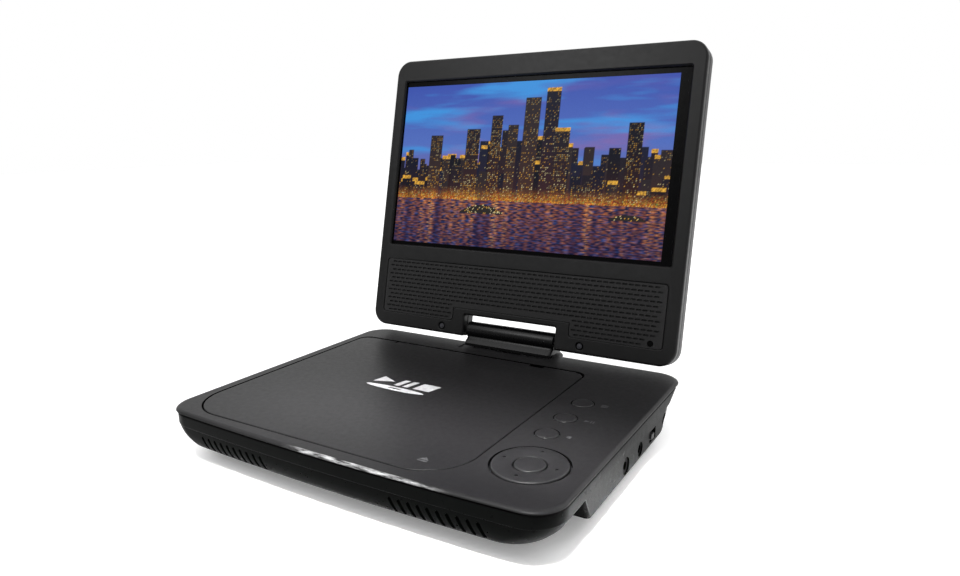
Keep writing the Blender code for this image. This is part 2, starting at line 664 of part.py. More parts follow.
# ---------------------------------------------------------------- inside the base
def make_inside():
    pack = box("battery_pack", (-0.0840, 0.0480, 0.0050), (-0.0440, 0.1160, 0.0148), PACK_BLUE)
    bevel(pack, 0.0020, 2)
    box("main_board", (0.0600, 0.0480, 0.0068), (0.0870, 0.1270, 0.0080), BOARD_GREEN)
    box("key_board", (0.0575, 0.0110, 0.0180), (0.0915, 0.1040, 0.0190), BOARD_GREEN)
    mat = box("key_mat", (0.0580, 0.0120, 0.0193), (0.0910, 0.1030, 0.0199), SILICONE)
    dome = [(0.0, 0.0203), (0.0030, 0.0203), (0.0040, 0.0196), (0.0, 0.0196)]
    for i, (x, y) in enumerate([(KEY_X, y) for y in KEYS_Y] + [(RING_X, RING_Y)]):
        join(mat, turned(f"mat_dome_{i}", dome, (x, y, 0), sides=16))
    for name, (x, y) in CASE_SCREWS.items():
        profile = [(0.0, 0.0125), (0.0011, 0.0120), (0.0012, 0.0036), (0.0026, 0.0034), (0.0027, 0.0024)]
        profile += [(0.0020, 0.0020), (0.0, 0.0020)]
        turned("case_screw_" + name, profile, (x, y, 0), BRIGHT_STEEL, sides=16)
    for name, (x, y) in FEET.items():
        profile = [(0.0, 0.0022), (FOOT_RADIUS, 0.0022), (FOOT_RADIUS, 0.0004), (FOOT_RADIUS - 0.0004, 0.0)]
        profile.append((0.0, 0.0))
        turned("foot_" + name, profile, (x, y, 0), RUBBER, sides=24)


def round_socket(name, y, nose, bore, set_in, pin=None):
    """A socket soldered to the main board, its round mouth in the side of the case."""
    back, front, face = 0.0790, 0.0902, SIDE_X - set_in
    body = box(name, (back, y - 0.0040, 0.0083), (front, y + 0.0040, 0.0148), SOCKET_BLACK)
    middle = (face + front - 0.0010) / 2
    length = face - front + 0.0010
    join(body, cylinder(name + "_nose", nose, length, (middle, y, SOCKET_Z), "X", sides=24))
    depth = 0.0120
    cut(body, cylinder(name + "_bore", bore, depth, (face - depth / 2 + 0.001, y, SOCKET_Z), "X", sides=20))
    if pin:
        length = 0.0100
        pin_centre = (face - 0.0012 - length / 2, y, SOCKET_Z)
        join(body, cylinder(name + "_pin", pin, length, pin_centre, "X", sides=12))
    return body


def make_sockets():
    round_socket("headphone_socket", PHONES_Y, 0.0035, 0.0018, 0.0010)
    round_socket("av_socket", AV_Y, 0.0029, 0.0018, 0.0010)
    round_socket("dc_inlet", DC_Y, 0.0034, 0.0026, 0.0022, 0.0008)
    low, high = (0.0820, SWITCH_Y - 0.0052, 0.0083), (0.0925, SWITCH_Y + 0.0052, 0.0145)
    body = box("power_switch_body", low, high, SOCKET_BLACK)
    low = (0.0880, SWITCH_Y - 0.0040, SOCKET_Z - 0.0018)
    high = (0.0990, SWITCH_Y + 0.0040, SOCKET_Z + 0.0018)
    cut(body, box("switch_pocket", low, high))
    low = (0.0885, SWITCH_Y - 0.0034, SOCKET_Z - 0.0014)
    high = (0.0930, SWITCH_Y + 0.0006, SOCKET_Z + 0.0014)
    slider = box("power_switch_slider", low, high, KEY_BLACK)
    low = (0.0925, SWITCH_Y - 0.0032, SOCKET_Z - 0.0012)
    high = (SIDE_X + 0.0002, SWITCH_Y + 0.0004, SOCKET_Z + 0.0012)
    join(slider, box("switch_knob", low, high))


def make_keys():
    """A rocking ring round a centre button, and three round buttons behind it."""
    flange_low, flange_high = 0.0209, 0.0216
    ring = [(RING_RADIUS - 0.0006, KEY_TOP_Z), (RING_RADIUS, KEY_TOP_Z - 0.0006), (RING_RADIUS, flange_high)]
    ring += [(RING_HOLE + 0.0006, flange_high), (RING_HOLE + 0.0006, flange_low), (RING_BORE, flange_low)]
    ring += [(RING_BORE, KEY_TOP_Z - 0.0010), (RING_BORE + 0.0008, KEY_TOP_Z - 0.0004)]
    ring += [(0.0105, KEY_TOP_Z + 0.0001), (RING_RADIUS - 0.0006, KEY_TOP_Z)]
    turned("nav_ring", ring, (RING_X, RING_Y, 0), KEY_BLACK, sides=48)
    edge = RING_BORE - 0.0005
    centre = [(0.0, KEY_TOP_Z + 0.0003), (0.0035, KEY_TOP_Z + 0.0002), (edge - 0.0008, KEY_TOP_Z - 0.0002)]
    centre += [(edge, KEY_TOP_Z - 0.0009), (edge, flange_low), (0.0, flange_low)]
    turned("centre_button", centre, (RING_X, RING_Y, 0), KEY_BLACK, sides=32)
    for name, y in zip(("front", "middle", "rear"), KEYS_Y):
        flange = KEY_HOLE + 0.0005
        button = [(0.0, KEY_TOP_Z + 0.0001), (0.0030, KEY_TOP_Z)]
        button += [(KEY_RADIUS - 0.0004, KEY_TOP_Z - 0.0002), (KEY_RADIUS, KEY_TOP_Z - 0.0007)]
        button += [(KEY_RADIUS, flange_high), (flange, flange_high), (flange, flange_low), (0.0, flange_low)]
        turned("round_button_" + name, button, (KEY_X, y, 0), KEY_BLACK, sides=32)


# ---------------------------------------------------------------- swivel hinge
def saddle_rings():
    """The foot under the barrel: a long block that narrows upwards."""
    rings = []
    levels = [(0.0245, 0.1448, 0.1600, 0.0272), (0.0262, 0.1450, 0.1598, 0.0273), (0.0292, 0.1490, 0.1560, 0.0273)]
    for z, front, rear, half in levels:
        outline = rounded(-half, half, front, rear, (0.0020,) * 4, steps=3)
        rings.append((z - HINGE_Z, [(x, y - HINGE_Y) for x, y in outline]))
    return rings


def make_swivel():
    head = loft("swivel_head", saddle_rings(), CASE_BLACK, SWIVEL_AXIS)
    length = 2 * BARREL_HALF
    join(head, cylinder("barrel", BARREL_RADIUS, length, (0, 0, 0), "X", None, SWIVEL_AXIS, 32))
    cut(head, upright("post_seat", 0.0051, 0, 0, -0.0090, -0.0052, None, SWIVEL_AXIS, 24))
    for side, x in (("left", -0.022), ("right", 0.022)):
        bore = PIN_RADIUS + GAP
        cut(head, cylinder("pin_bore_" + side, bore, 0.020, (x, 0, 0), "X", None, SWIVEL_AXIS, 20))
        middle = (x * 1.21, 0, 0)
        cylinder("hinge_pin_" + side, PIN_RADIUS, 0.0280, middle, "X", BRIGHT_STEEL, SCREEN_AXIS, 16)
    tube("swivel_post", 0.0030, 0.0048, 0, HINGE_Y, 0.0120, 0.0264, BRIGHT_STEEL)
    tube("swivel_washer", 0.0052, 0.0080, 0, HINGE_Y, 0.0186, 0.0194, BRIGHT_STEEL)
    nut = upright("swivel_nut", 0.0085, 0, HINGE_Y, 0.0150, 0.0183, BRIGHT_STEEL, sides=6)
    cut(nut, upright("nut_bore", 0.0052, 0, HINGE_Y, 0.0140, 0.0190, sides=24))
    outline = rounded(-0.024, 0.024, 0.1410, 0.1600, (0.003,) * 4, steps=2)
    plate = slab("swivel_plate", outline, 0.0200, 0.0218, WELL_METAL)
    cut(plate, upright("plate_bore", 0.0053, 0, HINGE_Y, 0.0190, 0.0230, sides=32))


# ---------------------------------------------------------------- screen
def screen_outline(inset, radius=0.009):
    """The screen's outline in its own plane, with the notch for the hinge barrel."""
    half = SCREEN_WIDTH / 2 - inset
    low, high = SCREEN_BOTTOM + inset, SCREEN_TOP - inset
    r = max(radius - inset, 0.001)
    notch, top = NOTCH_HALF + inset, NOTCH_TOP + inset
    points = arc(-half + r, low + r, r, 180, 270)
    points += [(-notch, low), (-notch, top), (notch, top), (notch, low)]
    points += arc(half - r, low + r, r, 270, 360)
    points += arc(half - r, high - r, r, 0, 90)
    points += arc(-half + r, high - r, r, 90, 180)
    return points


def grille_outline(inset):
    """The perforated band under the picture, stepping up over the hinge."""
    half, low, high = 0.0873 - inset, 0.0041 + inset, 0.0372 - inset
    step_half, step_top = 0.0364 + inset, 0.0117 + inset
    r = 0.0020
    points = arc(-half + r, low + r, r, 180, 270, 3)
    points += [(-step_half, low), (-step_half, step_top), (step_half, step_top), (step_half, low)]
    points += arc(half - r, low + r, r, 270, 360, 3)
    points += arc(half - r, high - r, r, 0, 90, 3)
    points += arc(-half + r, high - r, r, 90, 180, 3)
    return points


def edge_rings(face, toward, rise, inset, steps=4):
    """Rings that round an outer edge from upright to flat, ending at the face."""
    rings = []
    for i in range(steps + 1):
        angle = math.pi / 2 * i / steps
        w = face - toward * rise * (1 - math.sin(angle))
        rings.append((w, screen_outline(inset * (1 - math.cos(angle)))))
    return rings


SPEAKERS_U = (-0.060, 0.060)
SPEAKER_V = 0.0205
SPEAKER_RADIUS = 0.0140
BEZEL_SCREWS_U = (-0.0435, 0.0435)
BEZEL_SCREW_V = 0.0002
EYE_U, EYE_V = 0.0808, 0.0068


def make_bezel():
    low, back_of_face = SCREEN_SPLIT + GAP / 2, SCREEN_FACE - 0.0018
    rings = [(low, screen_outline(0.0))] + edge_rings(SCREEN_FACE, 1, 0.0012, 0.0012, 3)
    bezel = loft("screen_bezel", rings, BEZEL_BLACK, SCREEN)
    cut(bezel, slab("bezel_inside", screen_outline(0.0018), low - 0.0010, back_of_face, None, SCREEN))
    window = rounded(-WINDOW_HALF, WINDOW_HALF, WINDOW_BOTTOM, WINDOW_TOP, (0.0005,) * 4, steps=2)
    cut(bezel, slab("bezel_window", window, 0.0010, 0.0090, None, SCREEN))
    cut(bezel, slab("grille_seat", grille_outline(0.0), 0.0053, 0.0085, None, SCREEN))
    for i, u in enumerate(SPEAKERS_U):
        cut(bezel, upright(f"sound_way_{i}", 0.0120, u, SPEAKER_V, 0.0030, 0.0075, None, SCREEN, 32))
    for i, u in enumerate(BEZEL_SCREWS_U):
        place = (u, BEZEL_SCREW_V)
        cut(bezel, upright(f"bezel_counterbore_{i}", 0.0022, *place, 0.0051, 0.0080, None, SCREEN, 20))
        cut(bezel, upright(f"bezel_screw_way_{i}", 0.0014, *place, 0.0030, 0.0060, None, SCREEN, 16))
    cut(bezel, upright("eye_way", 0.0016, EYE_U, EYE_V, 0.0030, 0.0070, None, SCREEN, 16))
    cut(bezel, cylinder("bezel_pin_way", PIN_RADIUS + GAP, 0.0700, (0, 0, 0), "X", None, SCREEN, 20))
    return bezel


def make_back_cover():
    high = SCREEN_SPLIT - GAP / 2
    rings = list(reversed(edge_rings(SCREEN_BACK, -1, SCREEN_REAR_ROUND, SCREEN_REAR_ROUND)))
    rings.append((high, screen_outline(0.0)))
    cover = loft("screen_back_cover", rings, CASE_BLACK, SCREEN)
    inside = [(SCREEN_BACK + 0.0018, screen_outline(0.0042))]
    inside += [(SCREEN_BACK + 0.0036, screen_outline(0.0019)), (high + 0.001, screen_outline(0.0019))]
    cut(cover, loft("cover_inside", inside, None, SCREEN))
    cut(cover, cylinder("cover_pin_way", PIN_RADIUS + GAP, 0.0700, (0, 0, 0), "X", None, SCREEN, 20))
    return cover


def make_screen():
    make_bezel()
    make_back_cover()
    grille = slab("speaker_grille", grille_outline(0.0004), 0.0056, 0.0062, BEZEL_BLACK, SCREEN)
    cut(grille, upright("grille_eye_way", 0.0016, EYE_U, EYE_V, 0.0030, 0.0070, None, SCREEN, 16))
    upright("remote_eye", 0.0013, EYE_U, EYE_V, 0.0036, 0.0061, SOCKET_BLACK, SCREEN, 16)
    edge = 0.0012
    low = (-WINDOW_HALF - edge, WINDOW_BOTTOM - edge, 0.0027)
    high = (WINDOW_HALF + edge, WINDOW_TOP + edge, 0.0043)
    box("lcd_panel", low, high, PANEL_GLASS, SCREEN)
    box("lcd_backlight", (-0.0862, 0.0462, -0.0022), (0.0862, 0.1452, 0.0024), WELL_METAL, SCREEN)
    box("screen_board", (-0.0450, 0.0600, -0.0039), (0.0450, 0.1200, -0.0027), BOARD_GREEN, SCREEN)
    for side, u in zip(("left", "right"), SPEAKERS_U):
        profile = [(0.0, 0.0030), (0.0060, 0.0024), (0.0118, 0.0040), (SPEAKER_RADIUS, 0.0042)]
        profile += [(SPEAKER_RADIUS, 0.0028), (0.0090, -0.0010), (0.0088, -0.0036), (0.0, -0.0036)]
        turned("speaker_" + side, profile, (u, SPEAKER_V, 0), DRIVE_PLASTIC, SCREEN, 32)
    for side, u in zip(("left", "right"), BEZEL_SCREWS_U):
        profile = [(0.0, 0.0062), (0.0014, 0.0061), (0.0018, 0.0055), (0.0010, 0.0054), (0.0010, 0.0036)]
        profile.append((0.0, 0.0034))
        turned("bezel_screw_" + side, profile, (u, BEZEL_SCREW_V, 0), BRIGHT_STEEL, SCREEN, 16)
    for side, sign in (("left", -1), ("right", 1)):
        make_hinge_bracket(side, sign)


def make_hinge_bracket(side, sign):
    """A steel clamp round the pin, on a strap that runs up beside the speaker."""
    near, far = sorted((sign * 0.0334, sign * 0.0410))
    low, high = (near, 0.0008, -0.0036), (far, 0.0240, -0.0026)
    bracket = box("hinge_bracket_" + side, low, high, WELL_METAL, SCREEN)
    web = (near - 0.0001, 0.0022, -0.0035), (far + 0.0001, 0.0061, 0.0029)
    clamp = (near, -0.0014, -0.0021), (far, 0.0060, 0.0030)
    join(bracket, box("bracket_web_" + side, *web, None, SCREEN))
    join(bracket, box("bracket_clamp_" + side, *clamp, None, SCREEN))
    middle = (sign * 0.0370, 0, 0)
    bore = PIN_RADIUS + GAP
    cut(bracket, cylinder("bracket_bore_" + side, bore, 0.0300, middle, "X", None, SCREEN, 20))
    return bracket


make_lower_case()
make_upper_case()
make_disc_lid()
make_latch()
make_drive()
make_inside()
make_sockets()
make_keys()
make_swivel()
make_screen()
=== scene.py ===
"""The looks of a portable disc player with a swivelling, tilting screen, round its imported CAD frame.

Metres, in the row's frame: X to the right as seen from the front, -Y to the front, +Z up.
"""
import math
import random

import bmesh
import bpy
from mathutils import Matrix, Vector, noise as lattice_noise


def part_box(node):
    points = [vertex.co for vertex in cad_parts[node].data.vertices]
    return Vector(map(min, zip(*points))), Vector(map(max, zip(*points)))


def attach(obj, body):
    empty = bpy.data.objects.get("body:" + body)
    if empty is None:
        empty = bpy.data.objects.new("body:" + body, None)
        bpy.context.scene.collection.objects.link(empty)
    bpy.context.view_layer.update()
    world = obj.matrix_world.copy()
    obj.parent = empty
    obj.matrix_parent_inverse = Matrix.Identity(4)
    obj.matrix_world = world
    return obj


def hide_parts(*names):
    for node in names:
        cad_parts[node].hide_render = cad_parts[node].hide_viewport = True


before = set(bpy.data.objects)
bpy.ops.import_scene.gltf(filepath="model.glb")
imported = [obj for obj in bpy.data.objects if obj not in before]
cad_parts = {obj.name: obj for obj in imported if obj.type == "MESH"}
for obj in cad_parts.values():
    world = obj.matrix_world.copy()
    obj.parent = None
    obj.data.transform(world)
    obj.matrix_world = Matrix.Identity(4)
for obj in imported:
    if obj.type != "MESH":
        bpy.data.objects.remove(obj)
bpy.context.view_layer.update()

MM = 0.001


def mm(*values):
    """Millimetres to metres."""
    return tuple(value * MM for value in values)


# ---- sizes, from the frame
DECK_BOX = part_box("base_upper_case")
LOWER_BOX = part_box("base_lower_case")
FRONT_BOW = 3.0 * MM
FRONT_Y = DECK_BOX[0][1] + FRONT_BOW
BASE_HALF = (DECK_BOX[1][0] - DECK_BOX[0][0]) / 2
BASE_DEPTH = 154 * MM
LUG_HALF = 30 * MM
LUG_REAR = DECK_BOX[1][1] - FRONT_Y
DECK_Z = DECK_BOX[1][2]
PARTING_Z = LOWER_BOX[1][2]

HINGE_PIN_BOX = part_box("hinge_pin_left")
HINGE_Y = (HINGE_PIN_BOX[0][1] + HINGE_PIN_BOX[1][1]) / 2
HINGE_Z = (HINGE_PIN_BOX[0][2] + HINGE_PIN_BOX[1][2]) / 2
SCREEN_LEAN = math.radians(12.8)
SCREEN_PLANE = (
    Matrix.Translation((0, HINGE_Y, HINGE_Z))
    @ Matrix.Rotation(-SCREEN_LEAN, 4, "X")
    @ Matrix.Rotation(math.pi / 2, 4, "X")
)
BASE_PLACE = Matrix.Translation((0, FRONT_Y, 0))


def centre_of(node):
    low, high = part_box(node)
    return [(a + b) / 2 for a, b in zip(low, high)]


# ---- materials
def wire(source, socket):
    socket.id_data.links.new(source, socket)


def maths(operation, first, second):
    node = first.id_data.nodes.new("ShaderNodeMath")
    node.operation = operation
    wire(first, node.inputs[0])
    wire(second, node.inputs[1])
    return node.outputs[0]


def part_of(tree, coordinates, axis):
    """One axis of the given texture coordinates."""
    coords = tree.nodes.new("ShaderNodeTexCoord")
    parts = tree.nodes.new("ShaderNodeSeparateXYZ")
    wire(coords.outputs[coordinates], parts.inputs["Vector"])
    return parts.outputs[axis]


def noise(tree, scale, detail=4.0, roughness=0.6, stretch=(1, 1, 1)):
    """Noise over the piece's own coordinates. Scale counts its grains in one metre."""
    coords = tree.nodes.new("ShaderNodeTexCoord")
    mapping = tree.nodes.new("ShaderNodeMapping")
    mapping.inputs["Scale"].default_value = stretch
    texture = tree.nodes.new("ShaderNodeTexNoise")
    texture.inputs["Scale"].default_value = scale
    texture.inputs["Detail"].default_value = detail
    texture.inputs["Roughness"].default_value = roughness
    wire(coords.outputs["Object"], mapping.inputs["Vector"])
    wire(mapping.outputs["Vector"], texture.inputs["Vector"])
    return texture.outputs["Fac"]


def spread(source, low, high, start=0.3, end=0.7):
    """Maps the middle of a noise, or start to end of any value, onto low to high."""
    node = source.id_data.nodes.new("ShaderNodeMapRange")
    node.inputs["From Min"].default_value = start
    node.inputs["From Max"].default_value = end
    node.inputs["To Min"].default_value = low
    node.inputs["To Max"].default_value = high
    wire(source, node.inputs["Value"])
    return node.outputs["Result"]


def blend_colours(factor, first, second):
    node = factor.id_data.nodes.new("ShaderNodeMix")
    node.data_type = "RGBA"
    wire(factor, node.inputs["Factor"])
    for socket, colour in (("A", first), ("B", second)):
        if isinstance(colour, tuple):
            node.inputs[socket].default_value = (*colour, 1.0)
        else:
            wire(colour, node.inputs[socket])
    return node.outputs["Result"]


def add_bump(shader, height, strength, distance):
    node = height.id_data.nodes.new("ShaderNodeBump")
    node.inputs["Strength"].default_value = strength
    node.inputs["Distance"].default_value = distance
    wire(height, node.inputs["Height"])
    wire(node.outputs["Normal"], shader.inputs["Normal"])


def rubbed_edges(tree, amount):
    """Where the surface bends outwards, broken up by noise."""
    geometry = tree.nodes.new("ShaderNodeNewGeometry")
    edges = spread(geometry.outputs["Pointiness"], 0.0, amount, 0.52, 0.62)
    patchy = spread(noise(tree, 260, 4), 0.2, 1.0)
    return maths("MULTIPLY", edges, patchy)


def start_material(name, roughness, metallic=0.0, specular=0.5):
    material = bpy.data.materials.new(name)
    material.use_nodes = True
    tree = material.node_tree
    shader = tree.nodes["Principled BSDF"]
    shader.inputs["Roughness"].default_value = roughness
    shader.inputs["Metallic"].default_value = metallic
    shader.inputs["Specular IOR Level"].default_value = specular
    return material, tree, shader


def moulded_plastic(name, colour, roughness, grain=3800, depth=0.3, wear=0.25, specular=0.5):
    """Spark-eroded plastic: a fine grain, cloudy gloss and slightly rubbed edges."""
    material, tree, shader = start_material(name, roughness, 0.0, specular)
    darker = tuple(c * 0.90 for c in colour)
    lighter = tuple(min(1.0, c * 1.10) for c in colour)
    cloudy = blend_colours(spread(noise(tree, 160, 5), 0.0, 1.0), darker, lighter)
    speckles = spread(noise(tree, grain * 0.7, 1), 0.0, 0.22)
    speckled = blend_colours(speckles, cloudy, (0.0, 0.0, 0.0))
    rubbed = tuple(min(1.0, c * 2.0 + 0.01) for c in colour)
    wire(blend_colours(rubbed_edges(tree, wear), speckled, rubbed), shader.inputs["Base Color"])
    gloss = spread(noise(tree, 420, 5), roughness - 0.04, roughness + 0.05)
    wire(gloss, shader.inputs["Roughness"])
    add_bump(shader, noise(tree, grain, 2), depth, 0.00005)
    return material


def brushed_metal(name, colour, roughness):
    """Steel with fine scratches along one direction."""
    material, tree, shader = start_material(name, roughness, 1.0)
    scratches = noise(tree, 300, 6, 0.7, (1, 40, 40))
    dull = tuple(c * 0.78 for c in colour)
    wire(blend_colours(spread(scratches, 0, 1), dull, colour), shader.inputs["Base Color"])
    wire(spread(scratches, roughness - 0.08, roughness + 0.12), shader.inputs["Roughness"])
    add_bump(shader, scratches, 0.15, 0.00003)
    return material


def printed_ink(name, colour):
    """Thin print: its cover varies, so the plastic shows through a little."""
    material, tree, shader = start_material(name, 0.55)
    faded = tuple(c * 0.7 for c in colour)
    worn = spread(noise(tree, 900, 5), 0.0, 1.0)
    wire(blend_colours(worn, faded, colour), shader.inputs["Base Color"])
    add_bump(shader, noise(tree, 2500, 2), 0.2, 0.00002)
    return material


# Painted shade: the lower case takes a far darker colour than the deck, standing for the shade on its front
# wall.
CASE_PLASTIC = moulded_plastic("case_plastic", (0.0016, 0.0020, 0.0018), 0.30, specular=0.026)
BACK_PLASTIC = moulded_plastic("back_plastic", (0.0075, 0.0075, 0.0078), 0.44, specular=0.35)
DECK_PLASTIC = moulded_plastic("deck_plastic", (0.0115, 0.0112, 0.0118), 0.38, specular=0.135)
LID_PLASTIC = moulded_plastic("lid_plastic", (0.0115, 0.0112, 0.0118), 0.38, specular=0.135)
BEZEL_PLASTIC = moulded_plastic("bezel_plastic", (0.0048, 0.0048, 0.0050), 0.40, specular=0.25)
GRILLE_PLASTIC = moulded_plastic("grille_plastic", (0.0090, 0.0088, 0.0092), 0.45, specular=0.30)
KEY_PLASTIC = moulded_plastic("key_plastic", (0.0120, 0.0118, 0.0124), 0.40, specular=0.22)
HINGE_PLASTIC = moulded_plastic("hinge_plastic", (0.0030, 0.0030, 0.0033), 0.27, specular=0.22)
SOCKET_PLASTIC = moulded_plastic("socket_plastic", (0.0010, 0.0010, 0.0010), 0.40, specular=0.02)
# A darker, duller copy of the plastic: painted shade for faces down in grooves and gaps.
GAP_SHADE_PLASTIC = moulded_plastic("painted_gap_shade", (0.0012, 0.0012, 0.0012), 0.60, specular=0.04, wear=0.0)
DRIVE_PLASTIC = moulded_plastic("drive_plastic", (0.012, 0.012, 0.013), 0.50)
RUBBER = moulded_plastic("foot_rubber", (0.010, 0.010, 0.010), 0.85, grain=2500, depth=0.6, wear=0.1)
SILICONE = moulded_plastic("key_silicone", (0.55, 0.57, 0.58), 0.60, wear=0.0)
BOARD = moulded_plastic("board_green", (0.010, 0.080, 0.030), 0.40, wear=0.0)
PACK_WRAP = moulded_plastic("pack_wrap", (0.020, 0.050, 0.160), 0.30, wear=0.1)
DRIVE_STEEL = brushed_metal("drive_steel", (0.62, 0.63, 0.65), 0.34)
BRIGHT_STEEL = brushed_metal("bright_steel", (0.75, 0.75, 0.77), 0.20)
PIN_STEEL = brushed_metal("pin_steel", (0.012, 0.012, 0.013), 0.45)
SCREW_STEEL = brushed_metal("screw_steel", (0.08, 0.08, 0.09), 0.35)
WHITE_INK = printed_ink("white_ink", (0.44, 0.44, 0.45))
GREY_INK = printed_ink("grey_ink", (0.045, 0.045, 0.047))
CLOTH = moulded_plastic("speaker_cloth", (0.0025, 0.0025, 0.0025), 0.9, grain=2000, depth=0.8, wear=0.0)
FILM_BLACK = (0.0012, 0.0012, 0.0014)
PANEL_FILM = moulded_plastic("panel_film", FILM_BLACK, 0.20, 5000, depth=0.05, wear=0.0, specular=0.06)


def between(source, low, high, soft):
    """One between low and high, with soft ends, and nought outside."""
    sides = []
    for start, end in ((low - soft, low), (high + soft, high)):
        side = source.id_data.nodes.new("ShaderNodeMapRange")
        side.interpolation_type = "SMOOTHSTEP"
        side.inputs["From Min"].default_value = start
        side.inputs["From Max"].default_value = end
        wire(source, side.inputs["Value"])
        sides.append(side.outputs["Result"])
    return maths("MULTIPLY", *sides)


# Where the painted rim highlight lies, along X and across Y as (low, high, softness), and its grey.
RIM_HIGHLIGHT_ALONG = mm(-4, 42, 18)
RIM_HIGHLIGHT_ACROSS = mm(-2.75, -1.7, 0.5)
RIM_HIGHLIGHT_GREY = (0.55, 0.55, 0.55)


def paint_rim_highlight(material):
    """A painted highlight along the middle of the deck's front edge, broken into streaks, where its rounded
    rim catches the light.
    """
    tree = material.node_tree
    base_colour = tree.nodes["Principled BSDF"].inputs["Base Color"]
    along = between(part_of(tree, "Object", "X"), *RIM_HIGHLIGHT_ALONG)
    across = between(part_of(tree, "Object", "Y"), *RIM_HIGHLIGHT_ACROSS)
    streaks = spread(noise(tree, 420, 5, 0.65, (0.35, 2.5, 2.5)), 0.0, 0.75, 0.40, 0.66)
    amount = maths("MULTIPLY", maths("MULTIPLY", along, across), streaks)
    without_highlight = base_colour.links[0].from_socket
    # Mixes the painted highlight into the deck's colour.
    wire(blend_colours(amount, without_highlight, RIM_HIGHLIGHT_GREY), base_colour)


paint_rim_highlight(DECK_PLASTIC)


def dress(material, *nodes):
    for name in nodes:
        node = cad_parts[name]
        node.data.materials.clear()
        node.data.materials.append(material)


CORNERS = ("front_left", "front_right", "rear_left", "rear_right")
dress(SOCKET_PLASTIC, "headphone_socket", "av_socket", "dc_inlet", "power_switch_body", "remote_eye")
dress(DRIVE_PLASTIC, "disc_latch", "pickup_sled", "speaker_left", "speaker_right")
dress(SILICONE, "key_mat")
dress(BOARD, "main_board", "key_board", "screen_board")
dress(PACK_WRAP, "battery_pack")
dress(DRIVE_STEEL, "drive_chassis", "spindle_motor", "spindle_rotor", "feed_motor", "swivel_plate")
dress(DRIVE_STEEL, "lcd_backlight", "hinge_bracket_left", "hinge_bracket_right")
dress(PIN_STEEL, "disc_lid_pin_left", "disc_lid_pin_right")
dress(BRIGHT_STEEL, "guide_rod_front", "guide_rod_rear", "feed_screw")
dress(BRIGHT_STEEL, "swivel_post", "swivel_nut", "swivel_washer", "hinge_pin_left", "hinge_pin_right")
dress(BRIGHT_STEEL, *["case_screw_" + corner for corner in CORNERS])
dress(KEY_PLASTIC, "power_switch_slider")


# ---- shapes
SHARP_ANGLE = math.radians(32)
BOW_REACH = 0.05
BOW_SPANS = 24
LUG_RADIUS = 9 * MM


def shade(mesh):
    """Smooth, but for the sharp edges."""
    mesh.shade_smooth()
    mesh.set_sharp_from_angle(angle=SHARP_ANGLE)


def add_object(name, bm, material=None, place=Matrix.Identity(4)):
    bmesh.ops.recalc_face_normals(bm, faces=bm.faces)
    mesh = bpy.data.meshes.new(name)
    bm.to_mesh(mesh)
    bm.free()
    shade(mesh)
    if material is not None:
        mesh.materials.append(material)
    obj = bpy.data.objects.new(name, mesh)
    obj.matrix_world = place
    bpy.context.scene.collection.objects.link(obj)
    return obj


def add_loft(name, rings, material=None, place=Matrix.Identity(4)):
    """Joins outlines of equal point counts, given as (height, outline) in order."""
    bm = bmesh.new()
    rows = [[bm.verts.new((x, y, z)) for x, y in outline] for z, outline in rings]
    for below, above in zip(rows, rows[1:]):
        count = len(below)
        for i in range(count):
            j = (i + 1) % count
            bm.faces.new((below[i], below[j], above[j], above[i]))
    bm.faces.new(rows[0])
    bm.faces.new(rows[-1])
    return add_object(name, bm, material, place)


def add_turned(name, profile, sides, material=None, place=Matrix.Identity(4)):
    """A solid turned about Z from (radius, z) points. A closed profile gives a ring."""
    bm = bmesh.new()
    rows = []
    for radius, z in profile:
        if radius == 0:
            rows.append([bm.verts.new((0, 0, z))])
            continue
        row = []
        for i in range(sides):
            angle = 2 * math.pi * i / sides
            row.append(bm.verts.new((radius * math.cos(angle), radius * math.sin(angle), z)))
        rows.append(row)
    if profile[0][0] > 0:
        rows.append(rows[0])
    for first, second in zip(rows, rows[1:]):
        for i in range(sides):
            j = (i + 1) % sides
            corners = [first[i % len(first)], first[j % len(first)]]
            corners += [second[j % len(second)], second[i % len(second)]]
            unique = list(dict.fromkeys(corners))
            if len(unique) > 2:
                bm.faces.new(unique)
    return add_object(name, bm, material, place)


def add_box(name, low, high):
    bm = bmesh.new()
    bmesh.ops.create_cube(bm, size=1.0)
    size = [h - l for l, h in zip(low, high)]
    bmesh.ops.scale(bm, vec=size, verts=bm.verts)
    bmesh.ops.translate(bm, vec=[(h + l) / 2 for l, h in zip(low, high)], verts=bm.verts)
    return add_object(name, bm)


def add_slab(name, outline, low, high, material=None, place=Matrix.Identity(4)):
    return add_loft(name, [(low, outline), (high, outline)], material, place)


def add_rod(name, radius, low, high, sides, place):
    profile = [(0, low), (radius, low), (radius, high), (0, high)]
    return add_turned(name, profile, sides, None, place)


def add_upright(name, radius, x, y, low, high, sides=64):
    return add_rod(name, radius, low, high, sides, Matrix.Translation((x, y, 0)))


def along_x(x, y, z):
    """A place whose Z runs along the row's X."""
    return Matrix.Translation((x, y, z)) @ Matrix.Rotation(math.pi / 2, 4, "Y")


def combine(target, others, operation="DIFFERENCE"):
    """Cuts the others from the target, or joins them to it, and takes them away."""
    for other in others:
        if not other.data.materials and target.data.materials:
            other.data.materials.append(target.data.materials[0])
        modifier = target.modifiers.new("combine", "BOOLEAN")
        modifier.operation = operation
        modifier.material_mode = "TRANSFER"
        modifier.object = other
    bpy.context.view_layer.update()
    evaluated = target.evaluated_get(bpy.context.evaluated_depsgraph_get())
    mesh = bpy.data.meshes.new_from_object(evaluated)
    target.modifiers.clear()
    target.data = mesh
    shade(mesh)
    for other in others:
        bpy.data.objects.remove(other, do_unlink=True)


